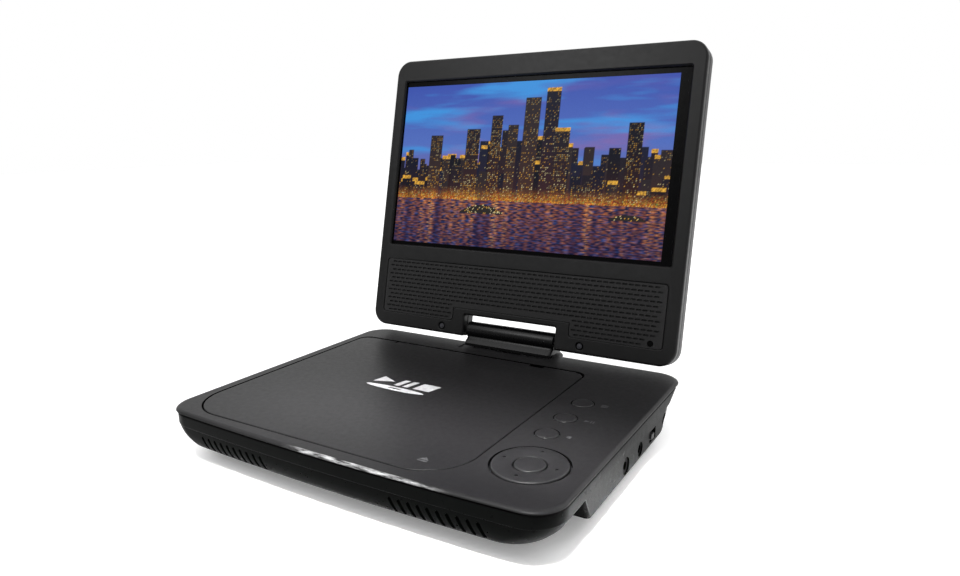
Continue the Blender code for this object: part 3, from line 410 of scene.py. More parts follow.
def paint_gap_shade(obj, inside):
    """Paints shade on the faces that lie in a groove or gap: they take a darker, duller copy of the
    plastic.
    """
    obj.data.materials.append(GAP_SHADE_PLASTIC)
    dark = len(obj.data.materials) - 1
    for face in obj.data.polygons:
        if inside(face):
            face.material_index = dark


def finish_piece(obj, body, node, place=BASE_PLACE):
    """Puts a piece on its body. It stands for a CAD node, or for none where node is None."""
    obj.matrix_world = place @ obj.matrix_world
    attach(obj, body)
    if node:
        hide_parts(node)


def finish_shell(shell, body, node, place=BASE_PLACE):
    """As finish_piece. Wide flat faces keep their own normal beside narrow rounded edges."""
    modifier = shell.modifiers.new("face_normals", "WEIGHTED_NORMAL")
    modifier.keep_sharp = True
    finish_piece(shell, body, node, place)


def arc(centre_x, centre_y, radius, start, end, steps):
    """Points round an arc, in degrees."""
    points = []
    for i in range(steps + 1):
        angle = math.radians(start + (end - start) * i / steps)
        points.append((centre_x + radius * math.cos(angle), centre_y + radius * math.sin(angle)))
    return points


def bowed(x, y, bow):
    """How far the front edge stands out at x. It fades away to nothing by the rear."""
    across = 1 - (x / BASE_HALF) ** 2
    back = max(0.0, 1 - max(y, 0) / BOW_REACH)
    return bow * across * back


def rounded(x0, x1, y0, y1, radii, bow=0.0, lug=None, steps=14):
    """A rectangle with round corners, anticlockwise from the front left."""
    a, b, c, d = radii
    points = arc(x0 + a, y0 + a, a, 180, 270, steps)
    front_left, front_right = x0 + a, x1 - b
    spans = BOW_SPANS if bow else 1
    for i in range(1, spans):
        points.append((front_left + (front_right - front_left) * i / spans, y0))
    points += arc(x1 - b, y0 + b, b, 270, 360, steps)
    points += arc(x1 - c, y1 - c, c, 0, 90, steps)
    if lug:
        half, rear, r = lug
        points.append((half, y1))
        points += arc(half - r, rear - r, r, 0, 90, 8)
        points += arc(r - half, rear - r, r, 90, 180, 8)
        points.append((-half, y1))
    points += arc(x0 + d, y1 - d, d, 90, 180, steps)
    if bow:
        points = [(x, y - bowed(x, y, bow)) for x, y in points]
    return points


def base_outline(inset, front_radius, rear_radius):
    """The player's outline from above, drawn in by inset, with the hinge's bulge at the rear."""
    half = BASE_HALF - inset
    radii = (front_radius, front_radius, rear_radius, rear_radius)
    lug = (LUG_HALF - inset, LUG_REAR - inset, LUG_RADIUS)
    return rounded(-half, half, inset, BASE_DEPTH - inset, radii, FRONT_BOW, lug)


def smooth_levels(levels, per_span=4):
    """Passes a smooth curve through rows of numbers and samples it."""
    rows = []
    for i in range(len(levels) - 1):
        before = levels[max(i - 1, 0)]
        start, end = levels[i], levels[i + 1]
        after = levels[min(i + 2, len(levels) - 1)]
        for k in range(per_span):
            t = k / per_span
            row = []
            for p0, p1, p2, p3 in zip(before, start, end, after):
                pull = (p2 - p0) * t + (2 * p0 - 5 * p1 + 4 * p2 - p3) * t**2
                row.append(p1 + 0.5 * (pull + (3 * p1 - p0 - 3 * p2 + p3) * t**3))
            rows.append(tuple(row))
    rows.append(tuple(levels[-1]))
    return rows


def quarter_round(rise, inset, steps=6):
    """(height below the top, inset) down a rounded edge, from upright to flat."""
    points = []
    for i in range(steps + 1):
        angle = math.pi / 2 * i / steps
        points.append((rise * (1 - math.sin(angle)), inset * (1 - math.cos(angle))))
    return points


def rounded_rings(top, outline, rise, inset, steps):
    """An outline's rings along a rounded edge, from flat at the top to upright."""
    return [(top - down, outline(i)) for down, i in quarter_round(rise, inset, steps)]


def rounded_profile(top, radius, rise, inset, steps):
    """A turned piece's points along a rounded edge."""
    return [(radius - i, top - down) for down, i in quarter_round(rise, inset, steps)]


# ---- lower case
HULL_LEVELS = [
    # height, side inset, front inset, rear inset, front corner radius
    mm(1.5, 15.0, 14.0, 8.0, 20),
    mm(3.0, 12.0, 10.5, 6.0, 18),
    mm(5.6, 9.0, 6.5, 4.0, 16),
    mm(7.6, 7.8, 3.6, 3.4, 15),
    mm(9.5, 6.5, 1.8, 3.0, 14),
    mm(13.0, 3.0, 0.8, 3.0, 13),
    mm(17.0, 0.6, 0.6, 3.0, 12.5),
    mm(19.0, 0.6, 0.6, 3.0, 12.5),
]
SIDE_LEVELS = [
    # height, side inset, front face y, rear inset, rear corner radius
    mm(1.5, 10.0, 48.0, 7.0, 34),
    mm(3.5, 7.0, 43.0, 4.5, 35),
    mm(5.8, 3.0, 37.5, 2.8, 36),
    mm(6.8, 1.0, 33.0, 2.4, 36),
    mm(7.5, 0.4, 31.2, 2.2, 36),
    mm(18.6, 0.4, 25.3, 1.2, 27),
]
WALL = 2 * MM


def hull_rings(wall):
    rings = []
    for z, side, front, rear, radius in smooth_levels(HULL_LEVELS):
        half = BASE_HALF - side - wall
        radii = (radius - wall, radius - wall, 24 * MM, 24 * MM)
        back = BASE_DEPTH - rear - wall
        rings.append((z + wall, rounded(-half, half, front + wall, back, radii, FRONT_BOW)))
    if wall:
        rings.append((31 * MM, rings[-1][1]))
    return rings


def side_rings(wall):
    rings = []
    for z, side, front, rear, radius in SIDE_LEVELS:
        half = BASE_HALF - side - wall
        radii = (2 * MM, 2 * MM, radius - wall, radius - wall)
        rings.append((z + wall, rounded(-half, half, front + wall, BASE_DEPTH - rear - wall, radii)))
    if wall:
        rings.append((32 * MM, rings[-1][1]))
    return rings


def band_rings(inset, low):
    if inset:
        levels = [(low, inset, 12, 25), (30 * MM, inset, 12, 14)]
    else:
        top = PARTING_Z
        levels = [
            (low, 0.9 * MM, 13, 26),
            (low + 0.4 * MM, 0.5 * MM, 13, 26),
            (low + 1.0 * MM, 0.3 * MM, 13, 25),
            (top - 0.7 * MM, 0.3 * MM, 13, 15),
            (top - 0.25 * MM, 0.5 * MM, 13, 15),
            (top, 1.0 * MM, 13, 15),
        ]
    return [(z, base_outline(i, front * MM, rear * MM)) for z, i, front, rear in levels]


def tower_outline(inset):
    half = LUG_HALF - inset
    return rounded(-half, half, 118 * MM + inset, LUG_REAR - inset, (9 * MM - inset,) * 4, steps=10)


VENT_PITCH = 4.1 * MM
VENT_FIRST = 33.5 * MM
VENT_COUNT = 10
VENT_LEAN = math.radians(-24)
VENT_HEIGHT = 6.6 * MM
VENT_WIDTH = 1.5 * MM
VENT_Z = 12 * MM


def vent_slot(x):
    """A round-ended slot through the front wall, leaning over."""
    r = VENT_WIDTH / 2
    straight = VENT_HEIGHT / 2 - r
    outline = arc(0, straight, r, 0, 180, 8) + arc(0, -straight, r, 180, 360, 8)
    place = Matrix.Translation((x, 0, VENT_Z)) @ Matrix.Rotation(VENT_LEAN, 4, "Y")
    lay_down = Matrix.Rotation(math.pi / 2, 4, "X")
    return add_slab("vent_cut", outline, -9 * MM, 9 * MM, None, place @ lay_down)


SOCKET_HOLES = {
    # node: hole radius
    "headphone_socket": 3.8 * MM,
    "av_socket": 3.2 * MM,
    "dc_inlet": 3.7 * MM,
}
SOCKET_Z = 11.4 * MM
SWITCH_HALF = (8 * MM, 4.3 * MM, 2.6 * MM)
SEAT_Z = 0.2 * MM


def case_cuts():
    cuts = []
    for side in (-1, 1):
        for i in range(VENT_COUNT):
            cuts.append(vent_slot(side * (VENT_FIRST + VENT_PITCH * i)))
    for node, radius in SOCKET_HOLES.items():
        place = along_x(BASE_HALF, centre_of(node)[1] - FRONT_Y, SOCKET_Z)
        cuts.append(add_rod("socket_cut", radius, -8 * MM, 8 * MM, 48, place))
    middle = (BASE_HALF, centre_of("power_switch_body")[1] - FRONT_Y, SOCKET_Z)
    low = tuple(m - half for m, half in zip(middle, SWITCH_HALF))
    high = tuple(m + half for m, half in zip(middle, SWITCH_HALF))
    cuts.append(add_box("switch_cut", low, high))
    for corner in CORNERS:
        x, y, z = centre_of("foot_" + corner)
        cuts.append(add_upright("foot_cut", 5.3 * MM, x, y - FRONT_Y, SEAT_Z, 2.5 * MM, 48))
        x, y, z = centre_of("case_screw_" + corner)
        cuts.append(add_upright("screw_cut", 3.1 * MM, x, y - FRONT_Y, SEAT_Z, 4.5 * MM, 40))
    return cuts


def make_lower_shell():
    shell = add_loft("lower_shell", band_rings(0.0, 16.4 * MM), CASE_PLASTIC)
    outside = [
        add_loft("belly", hull_rings(0.0)),
        add_loft("deep_rear", side_rings(0.0)),
        add_slab("tower", tower_outline(0.2 * MM), 3 * MM, 19.6 * MM),
    ]
    combine(shell, outside, "UNION")
    inside = [
        add_loft("band_inside", band_rings(2.3 * MM, 17.6 * MM)),
        add_loft("belly_inside", hull_rings(WALL)),
        add_loft("rear_inside", side_rings(WALL)),
        add_slab("tower_inside", tower_outline(2.2 * MM), 5 * MM, 33 * MM),
    ]
    combine(shell, inside)
    combine(shell, case_cuts())
    # Painted shade on the lower shell's lip of the parting groove.
    paint_gap_shade(shell, lambda face: face.center.z > PARTING_Z - 0.72 * MM)
    finish_shell(shell, "base", "base_lower_case")


make_lower_shell()


# ---- deck
LID_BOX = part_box("disc_lid")
LID_GAP = 0.8 * MM
LID_LEFT = LID_BOX[0][0] - LID_GAP
LID_RIGHT = LID_BOX[1][0] + LID_GAP
LID_FRONT = LID_BOX[0][1] - FRONT_Y - LID_GAP
LID_REAR = 134 * MM
LID_PIN = centre_of("disc_lid_pin_left")
LID_AXIS_Y = LID_PIN[1] - FRONT_Y
LID_AXIS_Z = LID_PIN[2]
KNUCKLES_X = (LID_PIN[0], centre_of("disc_lid_pin_right")[0])
LEDGE_Z = 21.3 * MM
WELL_RADIUS = 61.5 * MM
WELL_FLOOR_Z = 17.4 * MM
SPINDLE_X = centre_of("spindle_hub")[0]
SPINDLE_Y = centre_of("spindle_hub")[1] - FRONT_Y
RING_X = centre_of("centre_button")[0]
RING_Y = centre_of("centre_button")[1] - FRONT_Y
RING_RADIUS = 14.7 * MM
RING_HOLE = 15.6 * MM
RING_BORE = 6.6 * MM
KEYS = ("round_button_front", "round_button_middle", "round_button_rear")
KEY_X = centre_of(KEYS[0])[0]
KEYS_Y = [centre_of(key)[1] - FRONT_Y for key in KEYS]
KEY_RADIUS = 4.9 * MM
KEY_HOLE = 5.4 * MM
KEY_TOP_Z = DECK_Z + 0.4 * MM
HINGE_BASE_Y = HINGE_Y - FRONT_Y
SPINDLE = (SPINDLE_X, SPINDLE_Y)
LID_MIDDLE = (LID_LEFT + LID_RIGHT) / 2
LID_AXIS = along_x(LID_MIDDLE, LID_AXIS_Y, LID_AXIS_Z)
PIN_RADIUS = 0.8 * MM
LID_FRONT_CORNER = 22 * MM
LID_REAR_CORNER = 6.5 * MM
DECK_CORNER = 12 * MM
LATCH_SLOT = mm(33, 6.2, 15), mm(41, 10.6, 24)
LID_HOOK = mm(34.5, 7.2, 17.2), mm(39.5, 8.6, 23)
LID_HOOK_TIP = mm(34.5, 8.2, 17.2), mm(39.5, 9.6, 18.2)


def disc_lid_outline(inset, rear=LID_REAR):
    """Wide round corners at the front, tight ones at the hinge."""
    radii = (LID_FRONT_CORNER - inset,) * 2 + (LID_REAR_CORNER - inset,) * 2
    return rounded(LID_LEFT + inset, LID_RIGHT - inset, LID_FRONT + inset, rear - inset, radii, steps=20)


def lid_edge(inset):
    return disc_lid_outline(LID_GAP + inset, LID_AXIS_Y + LID_GAP)


def deck_outline(inset):
    return base_outline(inset, DECK_CORNER, DECK_CORNER)


def deck_cuts():
    # The lid recess's walls take the painted gap shade.
    cuts = [add_slab("lid_recess", disc_lid_outline(0.0), LEDGE_Z, 26 * MM, GAP_SHADE_PLASTIC)]
    wide = WELL_RADIUS + 0.4 * MM
    well = [(0, WELL_FLOOR_Z), (WELL_RADIUS - 1 * MM, WELL_FLOOR_Z)]
    well += [(WELL_RADIUS, WELL_FLOOR_Z + 1 * MM), (WELL_RADIUS, LEDGE_Z - 0.4 * MM)]
    well += [(wide, LEDGE_Z), (wide, 25 * MM), (0, 25 * MM)]
    cuts.append(add_turned("disc_well", well, 128, None, Matrix.Translation((*SPINDLE, 0))))
    for turn in (197, 343):
        x = SPINDLE_X + WELL_RADIUS * math.cos(math.radians(turn))
        y = SPINDLE_Y + WELL_RADIUS * math.sin(math.radians(turn))
        cuts.append(add_upright("finger_dip", 8.5 * MM, x, y, 20.4 * MM, 25 * MM))
    cuts.append(add_upright("spindle_opening", 17.5 * MM, *SPINDLE, 14 * MM, 19 * MM))
    holes = [add_upright("ring_hole", RING_HOLE, RING_X, RING_Y, 20 * MM, 26 * MM, 96)]
    for y in KEYS_Y:
        holes.append(add_upright("key_hole", KEY_HOLE, KEY_X, y, 20 * MM, 26 * MM))
    # The key holes' walls take the painted gap shade too.
    for hole in holes:
        hole.data.materials.append(GAP_SHADE_PLASTIC)
    cuts += holes
    cuts.append(add_box("latch_slot", *LATCH_SLOT))
    cuts.append(add_upright("swivel_hole", 6.6 * MM, 0, HINGE_BASE_Y, 20 * MM, 26 * MM))
    panel = rounded(-29 * MM, 29 * MM, 140 * MM, 180 * MM, (2 * MM,) * 4)
    cuts.append(add_slab("hinge_dip", panel, DECK_Z - 0.4 * MM, 26.2 * MM))
    trough = (LID_RIGHT - LID_LEFT - 9 * MM) / 2
    cuts.append(add_rod("roll_trough", 1.75 * MM, -trough, trough, 40, LID_AXIS))
    return cuts


def lid_knuckles():
    """The two ears on the deck that hold the disc lid's pins."""
    knuckles = []
    bore, ear, half = PIN_RADIUS, 1.2 * MM, 3.6 * MM
    for x in KNUCKLES_X:
        low = (x - 3.5 * MM, LID_AXIS_Y, 20.8 * MM)
        knuckles.append(add_box("knuckle_root", low, (x + 3.5 * MM, LID_REAR + 1.5 * MM, 23.5 * MM)))
        profile = [(bore, -half), (bore, half), (ear, half), (ear, -half)]
        place = along_x(x, LID_AXIS_Y, LID_AXIS_Z)
        knuckles.append(add_turned("knuckle_end", profile, 32, None, place))
    return knuckles


def make_deck():
    rings = [(PARTING_Z + 0.15 * MM, deck_outline(1.0 * MM))]
    rings.append((PARTING_Z + 0.40 * MM, deck_outline(0.08 * MM)))
    rings += rounded_rings(DECK_Z, deck_outline, 1.1 * MM, 1.9 * MM, 8)
    deck = add_loft("deck_shell", rings, DECK_PLASTIC)
    tray = add_slab("lid_tray", disc_lid_outline(-1.6 * MM), 19.6 * MM, 23.0 * MM)
    cup = add_upright("well_cup", WELL_RADIUS + 1.8 * MM, *SPINDLE, 15.6 * MM, 20.5 * MM, 96)
    combine(deck, [tray, cup], "UNION")
    combine(deck, deck_cuts())
    half = 11 * MM
    opening = rounded(SPINDLE_X, 42.4 * MM, SPINDLE_Y - half, SPINDLE_Y + half, (2 * MM,) * 4)
    combine(deck, [add_slab("pickup_opening", opening, 13.5 * MM, 18.8 * MM)])
    combine(deck, lid_knuckles(), "UNION")
    # Painted shade on the deck's lip of the parting groove.
    paint_gap_shade(deck, lambda face: PARTING_Z < face.center.z < PARTING_Z + 0.66 * MM)
    finish_shell(deck, "base", "base_upper_case")


def make_disc_lid():
    low = LEDGE_Z + 0.15 * MM
    rings = [(low, lid_edge(0.0))] + rounded_rings(DECK_Z, lid_edge, 0.45 * MM, 0.45 * MM, 5)
    lid = add_loft("lid_plate", rings, LID_PLASTIC)
    hollow = add_slab("lid_underside", disc_lid_outline(4 * MM), low - 1 * MM, DECK_Z - 1.5 * MM)
    combine(lid, [hollow])
    roll = (LID_RIGHT - LID_LEFT) / 2 - 6.2 * MM
    parts = [add_rod("lid_roll", 1.35 * MM, -roll, roll, 40, LID_AXIS)]
    parts.append(add_box("lid_hook", *LID_HOOK))
    parts.append(add_box("lid_hook_tip", *LID_HOOK_TIP))
    combine(lid, parts, "UNION")
    cuts = []
    for x in KNUCKLES_X:
        corner = (x - 4 * MM, LID_AXIS_Y - 2 * MM, 20 * MM)
        cuts.append(add_box("lid_notch", corner, (x + 4 * MM, LID_REAR + 1 * MM, 26 * MM)))
        place = along_x(x, LID_AXIS_Y, LID_AXIS_Z)
        cuts.append(add_rod("lid_pin_bore", PIN_RADIUS, -8 * MM, 8 * MM, 24, place))
    combine(lid, cuts)
    # Painted shade on the lid's edges, down in the gap round it.
    paint_gap_shade(lid, lambda face: abs(face.normal.z) < 0.4 and face.center.z < DECK_Z - 0.2 * MM)
    finish_shell(lid, "disc_lid", "disc_lid")


make_deck()
make_disc_lid()


# ---- printed marks
INK_HEIGHT = 0.05 * MM


def add_mark(name, outline, material, body, hole=None):
    """A printed shape lying on the deck."""
    mark = add_slab(name, outline, DECK_Z, DECK_Z + INK_HEIGHT, material)
    if hole:
        combine(mark, [add_slab("hole", hole, DECK_Z - 1 * MM, DECK_Z + 1 * MM)])
    finish_piece(mark, body, None)


def ellipse(x, y, half_width, half_height, steps=64):
    turns = [2 * math.pi * i / steps for i in range(steps)]
    return [(x + half_width * math.cos(t), y + half_height * math.sin(t)) for t in turns]


def slanted(x, y, outline, lean=0.22):
    """Moves an outline and leans it over, as sloping print does."""
    return [(x + a + lean * b, y + b) for a, b in outline]


def block(x0, x1, y0, y1):
    return [(x0, y0), (x1, y0), (x1, y1), (x0, y1)]


def make_lid_mark():
    """A play sign, a pause sign and a stop sign over a flat disc."""
    x, y = -17.8 * MM, 77.0 * MM
    wide, tall = 4.8 * MM, 4.0 * MM
    signs = [
        slanted(x - 12 * MM, y, [(-wide, -tall), (wide, 0), (-wide, tall)]),
        slanted(x - 2.6 * MM, y, block(-wide / 3, wide / 3, -tall, tall)),
        slanted(x + 2.6 * MM, y, block(-wide / 3, wide / 3, -tall, tall)),
        slanted(x + 12 * MM, y, block(-wide, wide, -tall, tall)),
    ]
    for i, sign in enumerate(signs):
        add_mark("lid_sign_" + str(i), sign, WHITE_INK, "disc_lid")
    disc = ellipse(x - 1.5 * MM, y - 8.0 * MM, 17 * MM, 2.1 * MM)
    hole = ellipse(x - 1.5 * MM, y - 8.0 * MM, 4 * MM, 0.7 * MM)
    add_mark("lid_sign_disc", disc, WHITE_INK, "disc_lid", hole)


def make_small_marks():
    """An eject sign on the lid, and signs beside the keys."""
    x, y = 37.0 * MM, 14.0 * MM
    half = 2.2 * MM
    triangle = [(x - half, y - 0.2 * MM), (x + half, y - 0.2 * MM), (x, y + 1.9 * MM)]
    bar = block(x - half, x + half, y - 1.5 * MM, y - 0.8 * MM)
    add_mark("eject_sign", triangle, GREY_INK, "disc_lid")
    add_mark("eject_bar", bar, GREY_INK, "disc_lid")
    left, tall = KEY_X + 8.4 * MM, 1.1 * MM
    for i, key_y in enumerate(KEYS_Y):
        y = key_y + 1.0 * MM
        if i == 0:
            shapes = [block(left, left + 1.8 * MM, y - 0.9 * MM, y + 0.9 * MM)]
        elif i == 1:
            shapes = [[(left, y - tall), (left + 2 * MM, y), (left, y + tall)]]
            for start in (2.6, 3.7):
                shapes.append(block(left + start * MM, left + (start + 0.5) * MM, y - tall, y + tall))
        else:
            rows = [y + row * tall for row in (-1, 0, 1)]
            shapes = [block(left, left + 3.0 * MM, v - 0.2 * MM, v + 0.2 * MM) for v in rows]
        for k, shape in enumerate(shapes):
            add_mark("key_sign_" + str(i) + "_" + str(k), shape, GREY_INK, "base")


make_lid_mark()
make_small_marks()


# ---- keys
FLANGE_LOW = 20.9 * MM
FLANGE_HIGH = 21.6 * MM
PIT_REACH = 10.8 * MM
PIT_RADIUS = 0.75 * MM


def make_ring():
    top, bore, flange = KEY_TOP_Z, RING_BORE, RING_HOLE + 0.6 * MM
    ring = [(bore, FLANGE_LOW), (flange, FLANGE_LOW), (flange, FLANGE_HIGH)]
    ring.append((RING_RADIUS, FLANGE_HIGH))
    ring += rounded_profile(top, RING_RADIUS, 0.7 * MM, 0.8 * MM, 6)
    ring += [(12.0 * MM, top + 0.12 * MM), (10.5 * MM, top + 0.13 * MM), (9.0 * MM, top + 0.02 * MM)]
    ring += [(bore + 0.8 * MM, top - 0.12 * MM), (bore + 0.2 * MM, top - 0.3 * MM)]
    ring.append((bore, top - 0.6 * MM))
    nav = add_turned("nav_ring_cap", ring, 128, KEY_PLASTIC, Matrix.Translation((RING_X, RING_Y, 0)))
    pits = []
    for i in range(4):
        turn = math.pi / 2 * i
        x, y = RING_X + PIT_REACH * math.cos(turn), RING_Y + PIT_REACH * math.sin(turn)
        pits.append(add_upright("ring_pit", PIT_RADIUS, x, y, top - 0.35 * MM, top + 1 * MM, 24))
    combine(nav, pits)
    finish_piece(nav, "nav_ring", "nav_ring")


def make_keys():
    top = KEY_TOP_Z
    edge = RING_BORE - 0.5 * MM
    centre = [(0, FLANGE_LOW), (edge, FLANGE_LOW), (edge, top - 0.8 * MM)]
    centre += rounded_profile(top - 0.1 * MM, edge, 0.6 * MM, 0.7 * MM, 5)
    centre += [(3.5 * MM, top + 0.15 * MM), (1.8 * MM, top + 0.26 * MM), (0, top + 0.3 * MM)]
    place = Matrix.Translation((RING_X, RING_Y, 0))
    button = add_turned("centre_button_cap", centre, 96, KEY_PLASTIC, place)
    finish_piece(button, "centre_button", "centre_button")
    flange = KEY_HOLE + 0.5 * MM
    profile = [(0, FLANGE_LOW), (flange, FLANGE_LOW), (flange, FLANGE_HIGH), (KEY_RADIUS, FLANGE_HIGH)]
    profile += rounded_profile(top - 0.1 * MM, KEY_RADIUS, 0.5 * MM, 0.5 * MM, 5)
    profile += [(2.5 * MM, top + 0.02 * MM), (0, top + 0.1 * MM)]
    for key, y in zip(KEYS, KEYS_Y):
        cap = add_turned(key + "_cap", profile, 64, KEY_PLASTIC, Matrix.Translation((KEY_X, y, 0)))
        finish_piece(cap, key, key)


make_ring()
make_keys()


# ---- feet
FOOT_PROFILE = [
    # radius, height
    mm(0, 0), mm(3.0, 0), mm(3.3, 0.25), mm(3.6, 0), mm(4.5, 0),
    mm(4.85, 0.12), mm(5.0, 0.5), mm(5.0, 2.2), mm(0, 2.2),
]


def make_feet():
    for corner in CORNERS:
        x, y, z = centre_of("foot_" + corner)
        foot = add_turned("foot_pad_" + corner, FOOT_PROFILE, 64, RUBBER)
        finish_piece(foot, "base", "foot_" + corner, Matrix.Translation((x, y, 0)))


make_feet()


# ---- hinge
BARREL_RADIUS = 4.8 * MM
BARREL_HALF = 27.5 * MM
PIN_WAY_RADIUS = 1.6 * MM
HEAD_LEVELS = [
    # height, front, rear, half length
    mm(24.5, 144.8, 160.0, 27.2),
    mm(26.0, 144.9, 159.9, 27.3),
    mm(26.8, 145.6, 159.2, 27.3),
    mm(27.8, 147.4, 157.5, 27.3),
    mm(28.8, 148.4, 156.6, 27.3),
    mm(30.4, 148.8, 156.2, 27.3),
]


def make_hinge():
    rings = []
    for z, front, rear, half in HEAD_LEVELS:
        rings.append((z, rounded(-half, half, front, rear, (2 * MM,) * 4, steps=8)))
    head = add_loft("hinge_barrel", rings, HINGE_PLASTIC)
    ends = rounded_profile(BARREL_HALF, BARREL_RADIUS, 0.6 * MM, 0.6 * MM, 5)
    profile = [(0, -BARREL_HALF)] + [(radius, -height) for radius, height in reversed(ends)]
    profile += ends + [(0, BARREL_HALF)]
    barrel = add_turned("barrel", profile, 96, None, along_x(0, HINGE_BASE_Y, HINGE_Z))
    combine(head, [barrel], "UNION")
    cuts = [add_upright("post_seat", 5.1 * MM, 0, HINGE_BASE_Y, 22.9 * MM, HINGE_Z - 5.2 * MM, 48)]
    for x in (-22 * MM, 22 * MM):
        place = along_x(x, HINGE_BASE_Y, HINGE_Z)
        cuts.append(add_rod("pin_bore", PIN_WAY_RADIUS, -10 * MM, 10 * MM, 32, place))
    combine(head, cuts)
    finish_piece(head, "swivel", "swivel_head")


make_hinge()


# ---- screen
SCREEN_HALF = 94.25 * MM
SCREEN_BOTTOM = -3.9 * MM
SCREEN_TOP = 158.1 * MM
SCREEN_FACE = 6.4 * MM
SCREEN_BACK = -6.0 * MM
SCREEN_SPLIT = 1.7 * MM
NOTCH_HALF = 28.8 * MM
NOTCH_TOP = 8.4 * MM
WINDOW = (-87 * MM, 87 * MM, 46 * MM, 145.5 * MM)


def screen_outline(inset, radius=9 * MM):
    """The screen's outline in its own plane, with the notch for the hinge barrel."""
    half, low, high = SCREEN_HALF - inset, SCREEN_BOTTOM + inset, SCREEN_TOP - inset
    r = max(radius - inset, 1 * MM)
    notch, top = NOTCH_HALF + inset, NOTCH_TOP + inset
    points = arc(-half + r, low + r, r, 180, 270, 16)
    points += arc(-notch - 1 * MM, low + 1 * MM, 1 * MM, 270, 360, 5)
    points += arc(-notch + 1 * MM, top - 1 * MM, 1 * MM, 180, 90, 5)
    points += arc(notch - 1 * MM, top - 1 * MM, 1 * MM, 90, 0, 5)
    points += arc(notch + 1 * MM, low + 1 * MM, 1 * MM, 180, 270, 5)
    points += arc(half - r, low + r, r, 270, 360, 16)
    points += arc(half - r, high - r, r, 0, 90, 16)
    points += arc(-half + r, high - r, r, 90, 180, 16)
    return points


def grille_outline(inset):
    """The perforated band under the picture, stepping up over the hinge."""
    half, low, high = 87.3 * MM - inset, 4.1 * MM + inset, 37.2 * MM - inset
    step_half, step_top = 36.4 * MM + inset, 11.7 * MM + inset
    r = 2 * MM
    points = arc(-half + r, low + r, r, 180, 270, 8)
    points += arc(-step_half - r, low + r, r, 270, 360, 8)
    points += [(-step_half, step_top), (step_half, step_top)]
    points += arc(step_half + r, low + r, r, 180, 270, 8)
    points += arc(half - r, low + r, r, 270, 360, 8)
    points += arc(half - r, high - r, r, 0, 90, 8)
    points += arc(-half + r, high - r, r, 90, 180, 8)
    return points


BEZEL_SCREWS = (-43.5 * MM, 43.5 * MM)
BEZEL_SCREW_V = 0.2 * MM
EYE = (80.8 * MM, 6.8 * MM)
SPEAKERS_U = (-60 * MM, 60 * MM)
SPEAKERS_V = 20.5 * MM
EYE_RADIUS = 1.6 * MM
EYE_CLEAR = 3.6 * MM
# height and how much wider the window is there
WINDOW_STEPS = [mm(0, 0), mm(5.2, 0), mm(6.0, 0.5), mm(6.25, 0.75), mm(8, 2.5)]
# radius and height
SCREW_WELL = [mm(0, 5.1), mm(2.2, 5.1), mm(2.2, 6.1), mm(2.6, 6.5), mm(2.6, 8), mm(0, 8)]


def pin_way():
    """The way for the hinge pins, along the screen's lower edge."""
    return add_rod("pin_way", PIN_WAY_RADIUS, -35 * MM, 35 * MM, 32, along_x(0, 0, 0))


def eye_way():
    """The hole for the remote control's eye."""
    return add_upright("eye_way", EYE_RADIUS, *EYE, 3 * MM, 7 * MM, 32)


def bezel_cuts(low):
    cuts = [add_slab("bezel_inside", screen_outline(2.2 * MM), low - 1 * MM, SCREEN_FACE - 1.8 * MM)]
    u0, u1, v0, v1 = WINDOW
    window = []
    for w, grow in WINDOW_STEPS:
        radii = (0.5 * MM + grow,) * 4
        window.append((w, rounded(u0 - grow, u1 + grow, v0 - grow, v1 + grow, radii, steps=6)))
    cuts.append(add_loft("bezel_window", window))
    seat = [(5.3 * MM, grille_outline(0.0)), (6.15 * MM, grille_outline(0.0))]
    seat.append((6.7 * MM, grille_outline(-0.55 * MM)))
    cuts.append(add_loft("grille_seat", seat))
    for u in BEZEL_SCREWS:
        place = Matrix.Translation((u, BEZEL_SCREW_V, 0))
        cuts.append(add_turned("screw_well", SCREW_WELL, 40, None, place))
        cuts.append(add_upright("screw_way", 1.4 * MM, u, BEZEL_SCREW_V, 3 * MM, 6 * MM, 32))
    for u in SPEAKERS_U:
        cuts.append(add_upright("sound_way", 12 * MM, u, SPEAKERS_V, 3 * MM, 7.5 * MM))
    return cuts + [eye_way(), pin_way()]


def make_bezel():
    low = SCREEN_SPLIT + 0.12 * MM
    rings = [(low, screen_outline(0.45 * MM)), (low + 0.3 * MM, screen_outline(0.0))]
    rings += rounded_rings(SCREEN_FACE, screen_outline, 1.3 * MM, 1.3 * MM, 7)
    bezel = add_loft("bezel_shell", rings, BEZEL_PLASTIC)
    combine(bezel, bezel_cuts(low))
    finish_shell(bezel, "screen", "screen_bezel", SCREEN_PLANE)


def make_back_cover():
    high = SCREEN_SPLIT - 0.12 * MM
    rings = [(SCREEN_BACK, screen_outline(4.5 * MM))]
    for down, inset in reversed(quarter_round(3.0 * MM, 3.0 * MM, 10)):
        rings.append((SCREEN_BACK + down, screen_outline(inset)))
    rings += [(high - 0.3 * MM, screen_outline(0.0)), (high, screen_outline(0.45 * MM))]
    cover = add_loft("back_shell", rings, BACK_PLASTIC)
    inside = [(SCREEN_BACK + 1.8 * MM, screen_outline(4.2 * MM))]
    inside.append((SCREEN_BACK + 3.6 * MM, screen_outline(1.9 * MM)))
    inside.append((high + 1 * MM, screen_outline(1.9 * MM)))
    combine(cover, [add_loft("cover_inside", inside), pin_way()])
    finish_shell(cover, "screen", "screen_back_cover", SCREEN_PLANE)


GRILLE_ROWS = 13
GRILLE_ROW_PITCH = 2.45 * MM
GRILLE_FIRST_ROW = 5.9 * MM
SLOT_PITCH = 3.4 * MM
SLOT_LENGTH = 2.85 * MM
SLOT_WIDTH = 0.9 * MM
SLOT_COLUMNS = range(-25, 26)
SLOTS_HALF = 84.6 * MM
STEP_HALF = 38.8 * MM
STEP_TOP = 13.4 * MM


